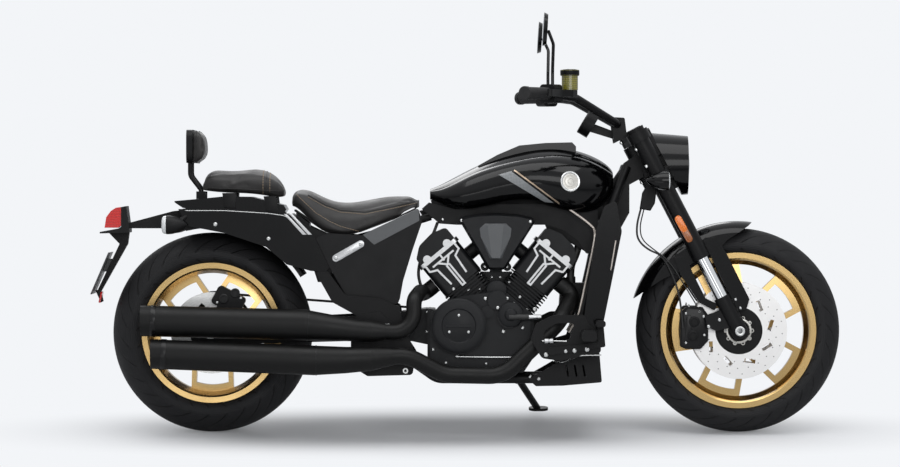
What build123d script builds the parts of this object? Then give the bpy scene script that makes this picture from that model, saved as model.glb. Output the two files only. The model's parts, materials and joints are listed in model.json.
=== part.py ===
from build123d import *
from math import sin, cos, tan, asin, atan2, radians, degrees, hypot
import os

os.makedirs("parts", exist_ok=True)

# A large V-twin cruiser motorcycle parked on its side stand, in millimetres.
# Every piece is drawn upright: x forward, y to the rider's left, z up, with the
# ground at z = 0 and x = 0 midway between the axles.  At the end the whole bike
# is leaned onto its side stand and moved so that the origin lies under the
# middle of its box.

# ------------------------------------------------------------------ stance
WHEELBASE = 1650.0
REAR_X = -825.0
FRONT_X = REAR_X + WHEELBASE
LEAN = 10.0                 # degrees, towards the left side stand
RAKE = 27.4                 # degrees from the vertical
FORK_OFFSET = 27.0          # steering axis behind the fork legs
FORK_HALF = 105.0           # fork leg from the middle plane
STEER_STOP = 30.0           # degrees each way

# ------------------------------------------------------------------ clearances
SEAT_GAP = 0.3              # pieces that rest on one another
RUN_GAP = 0.05              # shafts in their bores
TYRE_GAP = 0.2              # tyre bead to rim
BELT_GAP = 0.4              # belt to pulley
MOVE_GAP = 6.0              # pieces that move past one another

# ------------------------------------------------------------------ wheels
FRONT_TYRE_R = 320.0
FRONT_TYRE_HALF = 65.0
FRONT_CROWN_R = 66.0
FRONT_FLANGE_R = 244.0
FRONT_RIM_HALF = 51.0
FRONT_BARREL_R = 207.0
REAR_TYRE_R = 313.0
REAR_TYRE_HALF = 100.0
REAR_CROWN_R = 112.0
REAR_FLANGE_R = 219.0
REAR_RIM_HALF = 82.0
REAR_BARREL_R = 186.0
FLANGE_T = 6.5
BEAD_DROP = 15.0
RIM_WALL = 7.0
SPOKES = 5
FRONT_SPOKE_W = 18.0
REAR_SPOKE_W = 15.0
FRONT_SPOKE_TURN = 36.0
REAR_SPOKE_TURN = 270.0
FRONT_HUB_R = 33.0
REAR_HUB_R = 48.0
FRONT_HUB_HALF = 66.0
REAR_HUB_RIGHT = 84.0
REAR_HUB_LEFT = 96.0
FRONT_AXLE_R = 12.0
FRONT_AXLE_BORE_R = 8.0
REAR_AXLE_R = 12.5
DISC_T = 5.0
FRONT_DISC_R = 151.0
FRONT_DISC_Y = 70.0         # inner face of each front disc
REAR_DISC_R = 127.0
REAR_DISC_Y = 86.0
DISC_INNER_R = 74.0
CARRIER_R = 72.0

LEAN_S, LEAN_C = sin(radians(LEAN)), cos(radians(LEAN))
# a round crown rolls onto its shoulder as the bike leans, so each axle stands
# this much higher than its tyre's radius
FRONT_Z = FRONT_TYRE_R + FRONT_CROWN_R * (1 / LEAN_C - 1)
REAR_Z = REAR_TYRE_R + REAR_CROWN_R * (1 / LEAN_C - 1)

# ------------------------------------------------------------------ fork
FORK_OUTER_R = 27.0
FORK_TUBE_R = 20.5
FORK_FOOT_R = 26.0
FOOT_TOP = 120.0            # heights along the leg, from the axle
OUTER_LOW = 255.0
OUTER_TOP = 712.0
TUBE_IN = 55.0
CLAMP_LOW_S = 540.0
CLAMP_TOP_S = 684.0
CLAMP_T = 32.0
CLAMP_FRONT = 22.0          # flat front of the clamps ahead of the legs
STEM_R = 15.0
HEAD_R = 31.0

RS, RC = sin(radians(RAKE)), cos(radians(RAKE))
FORK_UP = (-RS, 0, RC)
FORK_FWD = (RC, 0, RS)

pieces = {}


def keep(name, part):
    part.label = name
    pieces[name] = part


def side(y):
    """Profile plane at lateral place y: local x forward, local y up."""
    return Plane.XZ.offset(-y)


def station(x):
    """Cross-section plane: local x to the left, local y up."""
    return Plane.YZ.offset(x)


def radial(x, z):
    """Plane through a lateral axle: local x up, local y to the left."""
    return Plane(origin=(x, 0, z), x_dir=(0, 0, 1), z_dir=(-1, 0, 0))


def lateral(x, z):
    return Axis((x, 0, z), (0, 1, 0))


def fork_point(f, y, s):
    """f ahead of the legs, y to the left, s up along them from the axle."""
    return (FRONT_X + f * RC - s * RS, y, FRONT_Z + f * RS + s * RC)


def across_fork(f, y, s):
    return Plane(origin=fork_point(f, y, s), x_dir=FORK_FWD, z_dir=FORK_UP)


def fork_side(y):
    return Plane(origin=fork_point(0, y, 0), x_dir=FORK_FWD, z_dir=(0, -1, 0))


def between(a, b):
    """Plane at a that faces b."""
    return Plane(origin=a, z_dir=tuple(q - p for p, q in zip(a, b)))


def length(a, b):
    return sum((q - p) ** 2 for p, q in zip(a, b)) ** 0.5


def sharp_face(points):
    """Face inside a polygon."""
    with BuildSketch() as face:
        with BuildLine():
            Polyline(*points, close=True)
        make_face()
    return face.sketch


def soft_face(points, radii):
    """Face inside a polygon with rounded corners."""
    with BuildSketch() as face:
        with BuildLine():
            FilletPolyline(*points, radius=radii, close=True)
        make_face()
    return face.sketch


def body_face(zb, zt, wb, w, zw, ws, zs):
    """Body section: flat floor, bulging flanks, arched top."""
    with BuildSketch() as face:
        with BuildLine():
            Line((-wb, zb), (wb, zb))
            ThreePointArc((wb, zb), (w, zw), (ws, zs))
            ThreePointArc((ws, zs), (0, zt), (-ws, zs))
            ThreePointArc((-ws, zs), (-w, zw), (-wb, zb))
        make_face()
    return face.sketch


# ================================================================== wheels
# one row a wheel: name, axle x, axle z, tyre r, half width, crown r, flange r,
# rim half width, barrel r, shoulder place, bead place
WHEELS = (
    ("front", FRONT_X, FRONT_Z, FRONT_TYRE_R, FRONT_TYRE_HALF, FRONT_CROWN_R,
     FRONT_FLANGE_R, FRONT_RIM_HALF, FRONT_BARREL_R),
    ("rear", REAR_X, REAR_Z, REAR_TYRE_R, REAR_TYRE_HALF, REAR_CROWN_R,
     REAR_FLANGE_R, REAR_RIM_HALF, REAR_BARREL_R),
)
for name, ax, az, tyre_r, half, crown, flange, rim_half, barrel in WHEELS:
    shoulder_y = 0.93 * half
    shoulder_r = tyre_r - crown + (crown ** 2 - shoulder_y ** 2) ** 0.5
    bead_r = flange + 3
    bead_y = rim_half + 4
    wall_r = (shoulder_r + bead_r) / 2
    inner_y = rim_half - FLANGE_T - TYRE_GAP
    seat_r = flange - BEAD_DROP + TYRE_GAP
    with BuildPart() as tyre:
        with BuildSketch(radial(ax, az)):
            with BuildLine():
                ThreePointArc((shoulder_r, -shoulder_y), (tyre_r, 0), (shoulder_r, shoulder_y))
                ThreePointArc((shoulder_r, shoulder_y), (wall_r, half), (bead_r, bead_y))
                Polyline((bead_r, bead_y), (flange + 1, inner_y), (seat_r, inner_y),
                         (seat_r, -inner_y), (flange + 1, -inner_y), (bead_r, -bead_y))
                ThreePointArc((bead_r, -bead_y), (wall_r, -half), (shoulder_r, -shoulder_y))
            make_face()
        revolve(axis=lateral(ax, az))
    keep(name + "_tyre", tyre.part)


def rim_profile(ax, az, flange, rim_half, barrel):
    seat = flange - BEAD_DROP
    inside = rim_half - FLANGE_T
    outer = [(flange, rim_half), (flange, inside), (seat, inside), (seat, inside - 9),
             (barrel + RIM_WALL, 0.34 * rim_half)]
    inner = [(seat - 2, rim_half), (seat - RIM_WALL, rim_half - 3),
             (seat - RIM_WALL - 2, inside - 5), (barrel, 0.3 * rim_half)]
    ring = outer + [(r, -y) for r, y in reversed(outer)]
    ring += [(r, -y) for r, y in inner] + list(reversed(inner))
    return ring


# one row a rim: name, x, z, flange r, rim half, barrel r, U centre angle, spoke
# width, spoke offset at the hub, at the rim, band inner r, hub r, hub right end,
# hub left end, half thickness at the hub and at the rim, axle r
RIMS = (
    ("front", FRONT_X, FRONT_Z, FRONT_FLANGE_R, FRONT_RIM_HALF, FRONT_BARREL_R,
     FRONT_SPOKE_TURN, FRONT_SPOKE_W, 37.0, 61.0, 186.0, FRONT_HUB_R, FRONT_HUB_HALF,
     FRONT_HUB_HALF, 27.0, 15.0, FRONT_AXLE_R),
    ("rear", REAR_X, REAR_Z, REAR_FLANGE_R, REAR_RIM_HALF, REAR_BARREL_R,
     REAR_SPOKE_TURN, REAR_SPOKE_W, 58.0, 59.0, 165.0, REAR_HUB_R, REAR_HUB_RIGHT,
     REAR_HUB_LEFT, 40.0, 24.0, REAR_AXLE_R),
)


def twin_spokes(at_hub, at_rim, spoke_w, barrel, band_r):
    """One pair of spokes along +x, closed by an arc band just inside the rim."""
    with BuildSketch() as pair:
        for sgn in (1, -1):
            with BuildLine():
                a = Vector(at_hub * 0.6, sgn * at_hub * 0.93)
                b = Vector(barrel + 3, sgn * at_rim)
                n = (b - a).normalized() * (spoke_w / 2)
                q = Vector(-n.Y, n.X)
                Polyline(a + q, b + q, b - q, a - q, close=True)
            make_face()
        half_turn = degrees(asin(at_rim / band_r))
        with BuildLine():
            arc_in = CenterArc((0, 0), band_r, -half_turn, 2 * half_turn)
            arc_out = CenterArc((0, 0), barrel + 3, -half_turn, 2 * half_turn)
            Line(arc_in @ 0, arc_out @ 0)
            Line(arc_in @ 1, arc_out @ 1)
        make_face()
    return pair.sketch


for (name, ax, az, flange, rim_half, barrel, turn, spoke_w, at_hub, at_rim, band_r,
     hub_r, hub_right, hub_left, thick_hub, thick_rim, axle_r) in RIMS:
    star_r = at_hub + spoke_w
    plane = Plane(origin=(ax, 0, az), x_dir=(1, 0, 0), z_dir=(0, -1, 0))
    with BuildPart() as rim:
        # star of twin spokes, each pair closed by an arc band inside the rim
        with BuildSketch(plane):
            with PolarLocations(0, SPOKES, start_angle=turn):
                add(twin_spokes(at_hub, at_rim, spoke_w, barrel, band_r))
            Circle(star_r)
        extrude(amount=rim_half, both=True)
        with BuildSketch(radial(ax, az)):
            with BuildLine():
                Polyline((0, thick_hub + 4), (star_r, thick_hub), (barrel + 3, thick_rim),
                         (barrel + 3, -thick_rim), (star_r, -thick_hub), (0, -thick_hub - 4),
                         close=True)
            make_face()
        revolve(axis=lateral(ax, az), mode=Mode.INTERSECT)
        with BuildSketch(radial(ax, az)):
            with BuildLine():
                Polyline(*rim_profile(ax, az, flange, rim_half, barrel), close=True)
            make_face()
        revolve(axis=lateral(ax, az))
        with BuildSketch(Plane(origin=(ax, -hub_right, az), z_dir=(0, 1, 0))):
            Circle(hub_r)
        extrude(amount=hub_right + hub_left)
        with BuildSketch(Plane(origin=(ax, -hub_right - 1, az), z_dir=(0, 1, 0))):
            Circle(axle_r + RUN_GAP)
        extrude(amount=hub_right + hub_left + 2, mode=Mode.SUBTRACT)
    keep(name + "_rim", rim.part)

# ------------------------------------------------------------------ discs
DISC_WINDOWS = 9
with BuildPart() as front_discs:
    for s in (-1, 1):
        y0 = FRONT_DISC_Y if s > 0 else -FRONT_DISC_Y - DISC_T
        with BuildSketch(Plane(origin=(FRONT_X, y0, FRONT_Z), z_dir=(0, 1, 0))):
            Circle(FRONT_DISC_R)
            Circle(DISC_INNER_R, mode=Mode.SUBTRACT)
            with PolarLocations(101, DISC_WINDOWS):
                Rectangle(12, 34, rotation=28, mode=Mode.SUBTRACT)
        extrude(amount=DISC_T)
keep("front_discs", front_discs.part)

with BuildPart() as disc_carriers:
    for s in (-1, 1):
        y0 = FRONT_DISC_Y if s > 0 else -FRONT_DISC_Y - DISC_T
        with BuildSketch(Plane(origin=(FRONT_X, y0 - 1, FRONT_Z), z_dir=(0, 1, 0))):
            Circle(CARRIER_R)
            Circle(FRONT_AXLE_R + 12, mode=Mode.SUBTRACT)
        extrude(amount=DISC_T + 2)
        with BuildSketch(Plane(origin=(FRONT_X, s * FRONT_HUB_HALF, FRONT_Z), z_dir=(0, s, 0))):
            Circle(FRONT_HUB_R)
            Circle(FRONT_AXLE_R + 2, mode=Mode.SUBTRACT)
        extrude(amount=FRONT_DISC_Y - FRONT_HUB_HALF + DISC_T)
    with BuildSketch(Plane(origin=(FRONT_X, -FRONT_DISC_Y, FRONT_Z), z_dir=(0, 1, 0))):
        Circle(DISC_INNER_R)
        Circle(CARRIER_R - 1, mode=Mode.SUBTRACT)
    extrude(amount=-DISC_T)
    with BuildSketch(Plane(origin=(FRONT_X, FRONT_DISC_Y, FRONT_Z), z_dir=(0, 1, 0))):
        Circle(DISC_INNER_R)
        Circle(CARRIER_R - 1, mode=Mode.SUBTRACT)
    extrude(amount=DISC_T)
keep("disc_carriers", disc_carriers.part)

with BuildPart() as rear_disc:
    with BuildSketch(Plane(origin=(REAR_X, -REAR_DISC_Y, REAR_Z), z_dir=(0, -1, 0))):
        Circle(REAR_DISC_R)
        Circle(40, mode=Mode.SUBTRACT)
        with PolarLocations(84, 7):
            Rectangle(16, 34, rotation=22, mode=Mode.SUBTRACT)
    extrude(amount=DISC_T)
    with BuildSketch(Plane(origin=(REAR_X, -REAR_HUB_RIGHT, REAR_Z), z_dir=(0, -1, 0))):
        Circle(REAR_HUB_R)
        Circle(REAR_AXLE_R + 6, mode=Mode.SUBTRACT)
    extrude(amount=REAR_DISC_Y - REAR_HUB_RIGHT + DISC_T)
keep("rear_disc", rear_disc.part)

# ================================================================== belt drive
BELT_Y = 107.0              # inner edge of the belt
BELT_W = 26.0
BELT_T = 7.0
REAR_PULLEY_R = 116.0
FRONT_PULLEY_R = 46.0
DRIVE_X = -190.0
DRIVE_Z = 338.0
with BuildPart() as rear_pulley:
    with BuildSketch(Plane(origin=(REAR_X, BELT_Y, REAR_Z), z_dir=(0, 1, 0))):
        Circle(REAR_PULLEY_R)
        with PolarLocations(80, 6):
            Circle(21, mode=Mode.SUBTRACT)
        Circle(REAR_AXLE_R + 6, mode=Mode.SUBTRACT)
    extrude(amount=BELT_W)
    with BuildSketch(Plane(origin=(REAR_X, REAR_HUB_LEFT, REAR_Z), z_dir=(0, 1, 0))):
        Circle(REAR_HUB_R)
        Circle(REAR_AXLE_R + 6, mode=Mode.SUBTRACT)
    extrude(amount=BELT_Y - REAR_HUB_LEFT)
    with BuildSketch(Plane(origin=(REAR_X, BELT_Y + BELT_W, REAR_Z), z_dir=(0, 1, 0))):
        Circle(REAR_PULLEY_R + 10)
        Circle(REAR_PULLEY_R - 12, mode=Mode.SUBTRACT)
    extrude(amount=3)
keep("rear_pulley", rear_pulley.part)


def belt_face(grow):
    """Face inside the belt's path, grown outwards from the pulleys."""
    r1, r2 = REAR_PULLEY_R + BELT_GAP + grow, FRONT_PULLEY_R + BELT_GAP + grow
    dx, dz = DRIVE_X - REAR_X, DRIVE_Z - REAR_Z
    run = hypot(dx, dz)
    base = atan2(dz, dx)
    tilt = asin((r1 - r2) / run)
    up, down = base + radians(90) - tilt, base - radians(90) + tilt
    ends = [(REAR_X + r1 * cos(up), REAR_Z + r1 * sin(up)),
            (DRIVE_X + r2 * cos(up), DRIVE_Z + r2 * sin(up)),
            (DRIVE_X + r2 * cos(down), DRIVE_Z + r2 * sin(down)),
            (REAR_X + r1 * cos(down), REAR_Z + r1 * sin(down))]
    front = (DRIVE_X + r2 * cos(base), DRIVE_Z + r2 * sin(base))
    back = (REAR_X - r1 * cos(base), REAR_Z - r1 * sin(base))
    with BuildSketch() as face:
        with BuildLine():
            Line(ends[0], ends[1])
            ThreePointArc(ends[1], front, ends[2])
            Line(ends[2], ends[3])
            ThreePointArc(ends[3], back, ends[0])
        make_face()
    return face.sketch


with BuildPart() as drive_belt:
    with BuildSketch(side(BELT_Y + BELT_W - 0.5)):
        add(belt_face(BELT_T))
        add(belt_face(0), mode=Mode.SUBTRACT)
    extrude(amount=BELT_W - 1)
keep("drive_belt", drive_belt.part)

# ================================================================== swingarm
ARM_RIGHT = 118.0           # inner face of each arm
ARM_LEFT = 148.0
ARM_T = 26.0
PIVOT_X = -276.0
PIVOT_Z = 332.0
PIVOT_R = 28.0
PIVOT_BOLT_R = 10.0
YOKE_LEFT = 99.0            # the yoke stops short of the belt
with BuildPart() as swingarm:
    for y, sgn in ((-ARM_RIGHT, 1), (ARM_LEFT, -1)):
        with BuildSketch(side(y)):
            add(soft_face([(REAR_X - 62, REAR_Z - 24), (REAR_X - 62, REAR_Z + 24),
                          (REAR_X + 50, REAR_Z + 32), (PIVOT_X - 50, PIVOT_Z + 40),
                          (PIVOT_X + 26, PIVOT_Z + 26), (PIVOT_X + 26, PIVOT_Z - 26),
                          (PIVOT_X - 70, PIVOT_Z - 40), (REAR_X + 60, REAR_Z - 34)], 10))
        extrude(amount=sgn * ARM_T)
    with BuildSketch(side(-ARM_RIGHT)):
        with Locations((PIVOT_X, PIVOT_Z)):
            Circle(PIVOT_R)
    extrude(amount=-(ARM_RIGHT + ARM_LEFT))
    with BuildSketch(side(-ARM_RIGHT)):
        add(soft_face([(PIVOT_X - 152, PIVOT_Z - 24), (PIVOT_X - 152, PIVOT_Z + 26),
                      (PIVOT_X - 20, PIVOT_Z + 20), (PIVOT_X - 20, PIVOT_Z - 20)], 8))
    extrude(amount=-(ARM_RIGHT + YOKE_LEFT))
    with BuildSketch(side(0)):
        with Locations((REAR_X, REAR_Z)):
            Circle(REAR_AXLE_R + RUN_GAP)
        with Locations((PIVOT_X, PIVOT_Z)):
            Circle(PIVOT_BOLT_R + RUN_GAP)
    extrude(amount=300, both=True, mode=Mode.SUBTRACT)
keep("swingarm", swingarm.part)

CALIPER_ANGLE = 62.0
with BuildPart() as rear_caliper:
    with BuildSketch(Plane(origin=(REAR_X, -66, REAR_Z), x_dir=(1, 0, 0), z_dir=(0, -1, 0))):
        with PolarLocations(REAR_DISC_R - 12, 1, start_angle=CALIPER_ANGLE):
            RectangleRounded(62, 96, 12)
    extrude(amount=ARM_RIGHT - SEAT_GAP - 66)
    with BuildSketch(Plane(origin=(REAR_X, -REAR_DISC_Y + 1.5, REAR_Z), x_dir=(1, 0, 0),
                           z_dir=(0, -1, 0))):
        Circle(REAR_DISC_R + 4)
    extrude(amount=DISC_T + 3, mode=Mode.SUBTRACT)
    with BuildSketch(Plane(origin=(REAR_X, -REAR_DISC_Y - DISC_T - 3, REAR_Z), x_dir=(1, 0, 0),
                           z_dir=(0, -1, 0))):
        Circle(30)
        with PolarLocations(60, 1, start_angle=CALIPER_ANGLE):
            Rectangle(90, 46)
        Circle(REAR_AXLE_R + RUN_GAP, mode=Mode.SUBTRACT)
    extrude(amount=ARM_RIGHT - SEAT_GAP - REAR_DISC_Y - DISC_T - 3)
keep("rear_caliper", rear_caliper.part)

# ================================================================== frame
SPINE_HALF = 32.0
SPINE_TOP = [(-176, 696), (120, 760), (430, 790), (468, 846)]
SPINE = [(516, 880), (528, 802), (484, 778), (484, 690), (456, 640), (452, 622.5), (406, 622.5),
         (396, 650), (388, 700), (388, 757), (150, 722), (-160, 668)] + SPINE_TOP
SPINE_GAP = 5.0
RAIL_R = 15.0
HEAD_LOW = CLAMP_LOW_S + CLAMP_T / 2 + 1.0
HEAD_TOP = CLAMP_TOP_S - CLAMP_T / 2 - 1.0
with BuildPart() as frame_spine:
    with BuildSketch(side(SPINE_HALF)):
        add(sharp_face(SPINE))
    extrude(amount=2 * SPINE_HALF)
    with BuildSketch(across_fork(-FORK_OFFSET, 0, HEAD_LOW)):
        Circle(HEAD_R)
    extrude(amount=HEAD_TOP - HEAD_LOW)
    with BuildSketch(across_fork(-FORK_OFFSET, 0, HEAD_LOW - 1)):
        Circle(STEM_R + RUN_GAP)
    extrude(amount=HEAD_TOP - HEAD_LOW + 2, mode=Mode.SUBTRACT)
keep("frame_spine", frame_spine.part)

# engine
CRANK_X, CRANK_Z = 66.0, 344.0
V_HALF = 39.5               # each cylinder leans this far from the vertical
CASE_HALF = 128.0
DECK = 95.0                 # crank to the cylinder deck
FIN_TOP = 165.0
HEAD_JOINT = 277.0
COVER_FOOT = 290.0
COVER_TOP = 346.0
BARREL_HALF, BARREL_SIDE = 60.0, 74.0
FIN_HALF, FIN_SIDE = 73.0, 88.0
HEAD_HALF, HEAD_SIDE = 70.0, 92.0
FINS = 7
FIN_T = 4.5
VS, VC = sin(radians(V_HALF)), cos(radians(V_HALF))


def up_cylinder(e, d):
    """Across one cylinder (e = 1 front, -1 rear): local x outwards, y to the side."""
    return Plane(origin=(CRANK_X + e * d * VS, 0, CRANK_Z + d * VC), x_dir=(e * VC, 0, -VS),
                 z_dir=(e * VS, 0, VC))


def cylinder_side(e, y):
    """Flank of one cylinder: local x outwards from the V, local y up its axis."""
    return Plane(origin=(CRANK_X, y, CRANK_Z), x_dir=(e * VC, 0, -VS), z_dir=(0, -e, 0))


CASE = [(-150, 224), (-112, 192), (150, 192), (182, 240), (182, 376), (CRANK_X, 472),
        (-50, 376), (-150, 392)]
GEARBOX_HALF = 100.0
PULLEY_SHAFT_R = 18.0
with BuildPart() as crankcase:
    with BuildSketch(side(CASE_HALF)):
        add(soft_face(CASE, 7))
    extrude(amount=2 * CASE_HALF)
    # the left rear corner stands back from the belt
    with BuildSketch(side(CASE_HALF)):
        with Locations((DRIVE_X, DRIVE_Z)):
            Circle(FRONT_PULLEY_R + BELT_GAP + BELT_T + MOVE_GAP)
        add(sharp_face([(-200, 200), (-200, 420), (-134, 420), (-134, 200)]))
    extrude(amount=CASE_HALF - GEARBOX_HALF, mode=Mode.SUBTRACT)
    # gearbox with the output shaft and its belt pulley
    with BuildSketch(side(GEARBOX_HALF)):
        add(soft_face([(-236, 296), (-236, 380), (-140, 392), (-140, 276)], 12))
    extrude(amount=2 * GEARBOX_HALF - 16)
    with BuildSketch(side(GEARBOX_HALF)):
        with Locations((DRIVE_X, DRIVE_Z)):
            Circle(PULLEY_SHAFT_R)
    extrude(amount=GEARBOX_HALF - BELT_Y)
    with BuildSketch(side(BELT_Y)):
        with Locations((DRIVE_X, DRIVE_Z)):
            Circle(FRONT_PULLEY_R)
    extrude(amount=-BELT_W - 2)
    for e in (-1, 1):
        with BuildSketch(up_cylinder(e, DECK)):
            Rectangle(260, 400)
        extrude(amount=60, mode=Mode.SUBTRACT)
keep("crankcase", crankcase.part)

CLUTCH = (-52.0, 338.0)
CLUTCH_R = 87.0
with BuildPart() as engine_covers:
    # right: clutch cover, cam cap and pump cover on one flat cover
    with BuildSketch(side(-CASE_HALF)):
        add(soft_face([(-142, 222), (-122, 200), (144, 200), (172, 244), (172, 352), (66, 446),
                      (-44, 430), (-142, 380)], 10))
    extrude(amount=22)
    for x, z, r, t in ((CLUTCH[0], CLUTCH[1], CLUTCH_R, 42.0), (CLUTCH[0], CLUTCH[1], 54.0, 50.0),
                       (68.0, 418.0, 30.0, 34.0), (104.0, 367.0, 36.0, 36.0),
                       (38.0, 382.0, 19.0, 30.0)):
        with BuildSketch(side(-CASE_HALF)):
            with Locations((x, z)):
                Circle(r)
        extrude(amount=t)
    # left: alternator cover
    with BuildSketch(side(CASE_HALF)):
        add(soft_face([(-120, 222), (-104, 202), (144, 202), (172, 244), (172, 352), (66, 440),
                      (-40, 400), (-120, 330)], 10))
    extrude(amount=-8)
    for x, z, r, t in ((66.0, 330.0, 92.0, 34.0), (66.0, 330.0, 60.0, 40.0)):
        with BuildSketch(side(CASE_HALF)):
            with Locations((x, z)):
                Circle(r)
        extrude(amount=-t)
keep("engine_covers", engine_covers.part)

with BuildPart() as cylinders:
    for e in (-1, 1):
        with BuildSketch(up_cylinder(e, DECK)):
            with Locations((2, 0)):
                RectangleRounded(2 * BARREL_HALF, 2 * BARREL_SIDE, 20)
        extrude(amount=FIN_TOP - DECK)
        pitch = (FIN_TOP - DECK) / FINS
        for i in range(FINS):
            with BuildSketch(up_cylinder(e, DECK + pitch * (i + 0.5) - FIN_T / 2)):
                with Locations((2, 0)):
                    RectangleRounded(2 * FIN_HALF - 4, 2 * FIN_SIDE, 16)
            extrude(amount=FIN_T)
keep("cylinders", cylinders.part)

with BuildPart() as cylinder_heads:
    for e in (-1, 1):
        with BuildSketch(up_cylinder(e, FIN_TOP)):
            RectangleRounded(2 * HEAD_HALF, 2 * HEAD_SIDE, 18)
        extrude(amount=HEAD_JOINT - FIN_TOP)
        # rocker cover above the joint band
        with BuildSketch(cylinder_side(e, -HEAD_SIDE + 4)):
            add(soft_face([(-HEAD_HALF + 2, COVER_FOOT), (-HEAD_HALF + 2, COVER_TOP - 14),
                          (-22, COVER_TOP), (34, COVER_TOP - 6), (HEAD_HALF - 4, COVER_FOOT + 24),
                          (HEAD_HALF - 2, COVER_FOOT)], [2, 14, 30, 26, 12, 2]))
        extrude(amount=e * 2 * (4 - HEAD_SIDE))
keep("cylinder_heads", cylinder_heads.part)

RIB_W = 6.0
RIB_T = 4.0
# machined lines on each flank: outward place and height along the cylinder
RIB_LINES = (
    ((-5, 240), (-5, 161), (5, 161), (5, 240)),
    ((-22, 262), (0, 240), (22, 262)),
    ((-42, 262), (42, 262)),
    ((58, 256), (36, 246), (30, 184)),
    ((-58, 256), (-36, 246), (-30, 184)),
)
with BuildPart() as head_bands:
    for e in (-1, 1):
        with BuildSketch(up_cylinder(e, HEAD_JOINT)):
            RectangleRounded(2 * HEAD_HALF + 12, 2 * HEAD_SIDE + 2 * RIB_T, 16)
        extrude(amount=COVER_FOOT - HEAD_JOINT)
        for s in (-1, 1):
            with BuildSketch(cylinder_side(e, s * HEAD_SIDE)):
                for line in RIB_LINES:
                    with BuildLine():
                        rib = Polyline(*line)
                    trace(rib, line_width=RIB_W)
                with Locations((0, (250 + HEAD_JOINT) / 2 + 6)):
                    Rectangle(RIB_W, HEAD_JOINT - 250)
                for t in (-40, 40):
                    with Locations((t, COVER_FOOT + 2)):
                        Circle(13)
                with Locations((58, 266), (-58, 266)):
                    Rectangle(RIB_W, 24)
            extrude(amount=-s * e * RIB_T)
keep("head_bands", head_bands.part)

RAIL_Y = 98.0
RAIL_Z = 172.0
JOINT_X = 294.5
STAND_X, STAND_Y, STAND_Z = 126.0, 150.0, 178.0
# the foot stands ahead of the pivot, so that the weight holds the leg on its stop
STAND_FOOT_X, STAND_FOOT_Y = 205.0, 312.0
STAND_FOLD = 110.0
STAND_R = 11.0
STAND_PIN_R = 7.0
PAD_T = 8.0
foot = Vector(STAND_FOOT_X, STAND_FOOT_Y, STAND_FOOT_Y * tan(radians(LEAN)))
pivot = Vector(STAND_X, STAND_Y, STAND_Z)
down = (foot - pivot).normalized()
back = Vector(-1, 0.16, 0.10).normalized()
hinge = down.cross(back).normalized()
pin_plane = Plane(origin=pivot, x_dir=down, z_dir=hinge)
CROSS_X, CROSS_Z = -205.0, 232.0
with BuildPart() as frame_cradle:
    for s in (-1, 1):
        with BuildLine():
            path = FilletPolyline((474, s * (SPINE_HALF + RAIL_R + SEAT_GAP), 835),
                                  (386, s * 92, 612), (322, s * RAIL_Y, 330),
                                  (JOINT_X, s * RAIL_Y, RAIL_Z), (-120, s * RAIL_Y, RAIL_Z),
                                  (CROSS_X, s * RAIL_Y, CROSS_Z), radius=[90, 90, 26, 60])
        with BuildSketch(Plane(origin=path @ 0, z_dir=path % 0)):
            Circle(RAIL_R)
        sweep(path=path)
    with BuildSketch(side(-ARM_RIGHT - ARM_T)):
        with Locations((CROSS_X, CROSS_Z)):
            Circle(RAIL_R + 2)
    extrude(amount=-(ARM_RIGHT + ARM_LEFT + 2 * ARM_T))
    # ear and pin of the side stand, welded to the left rail
    with BuildSketch(pin_plane.offset(-9)):
        Circle(21)
    extrude(amount=-12)
    with BuildSketch(pin_plane.offset(-10)):
        Circle(STAND_PIN_R)
    extrude(amount=19 + SEAT_GAP)
    with BuildSketch(pin_plane.offset(8 + SEAT_GAP)):
        RegularPolygon(12, 6)
    extrude(amount=7)
    ear = pivot - hinge * 16
    root = Vector(ear.X, RAIL_Y, RAIL_Z)
    with BuildSketch(Plane(origin=root, x_dir=(1, 0, 0), z_dir=ear - root)):
        Rectangle(26, 9)
    extrude(amount=(ear - root).length)
keep("frame_cradle", frame_cradle.part)

PLATE_T = 12.0
STRUT_IN, STRUT_T = 108.0, 14.0
EAR_T = 8.0                 # silencer carrier on the right plate
UP_Y, LOW_Y = -214.0, -238.0    # silencer centre lines
TIE_X, TIE_Z = -478.0, 490.0
PLATE = [(-500, 508), (-460, 508), (-405, 434), (-300, 424), (-236, 398), (-218, 300),
         (-186, 250), (-190, 212), (-240, 212), (-318, 292), (-334, 350), (-446, 412)]
with BuildPart() as pivot_plates:
    for y, sgn in ((-ARM_RIGHT - ARM_T - SEAT_GAP, 1), (ARM_LEFT + ARM_T + SEAT_GAP, -1)):
        with BuildSketch(side(y)):
            add(soft_face(PLATE, [8, 8, 20, 20, 12, 12, 12, 12, 12, 12, 12, 20]))
        extrude(amount=sgn * PLATE_T)
        with BuildSketch(side(y)):
            with Locations((TIE_X, TIE_Z)):
                Circle(13)
        extrude(amount=-sgn * (abs(y) - STRUT_IN - STRUT_T - SEAT_GAP))
    with BuildSketch(side(-ARM_RIGHT - ARM_T - SEAT_GAP - PLATE_T)):
        add(soft_face([(-372, 372), (-300, 384), (-206, 300), (-186, 250), (-196, 186), (-336, 182),
                       (-388, 214), (-388, 300)], 12))
    extrude(amount=EAR_T)
    # bosses out to the silencers
    for x, z, end in ((-366, 327, UP_Y + 34.6), (-358, 236, LOW_Y + 39.4)):
        with BuildSketch(side(-ARM_RIGHT - ARM_T - SEAT_GAP - PLATE_T)):
            with Locations((x, z)):
                Circle(9)
        extrude(amount=-end - ARM_RIGHT - ARM_T - SEAT_GAP - PLATE_T)
    with BuildSketch(side(400)):
        with Locations((PIVOT_X, PIVOT_Z)):
            Circle(PIVOT_BOLT_R + RUN_GAP)
    extrude(amount=800, mode=Mode.SUBTRACT)
keep("pivot_plates", pivot_plates.part)

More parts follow.
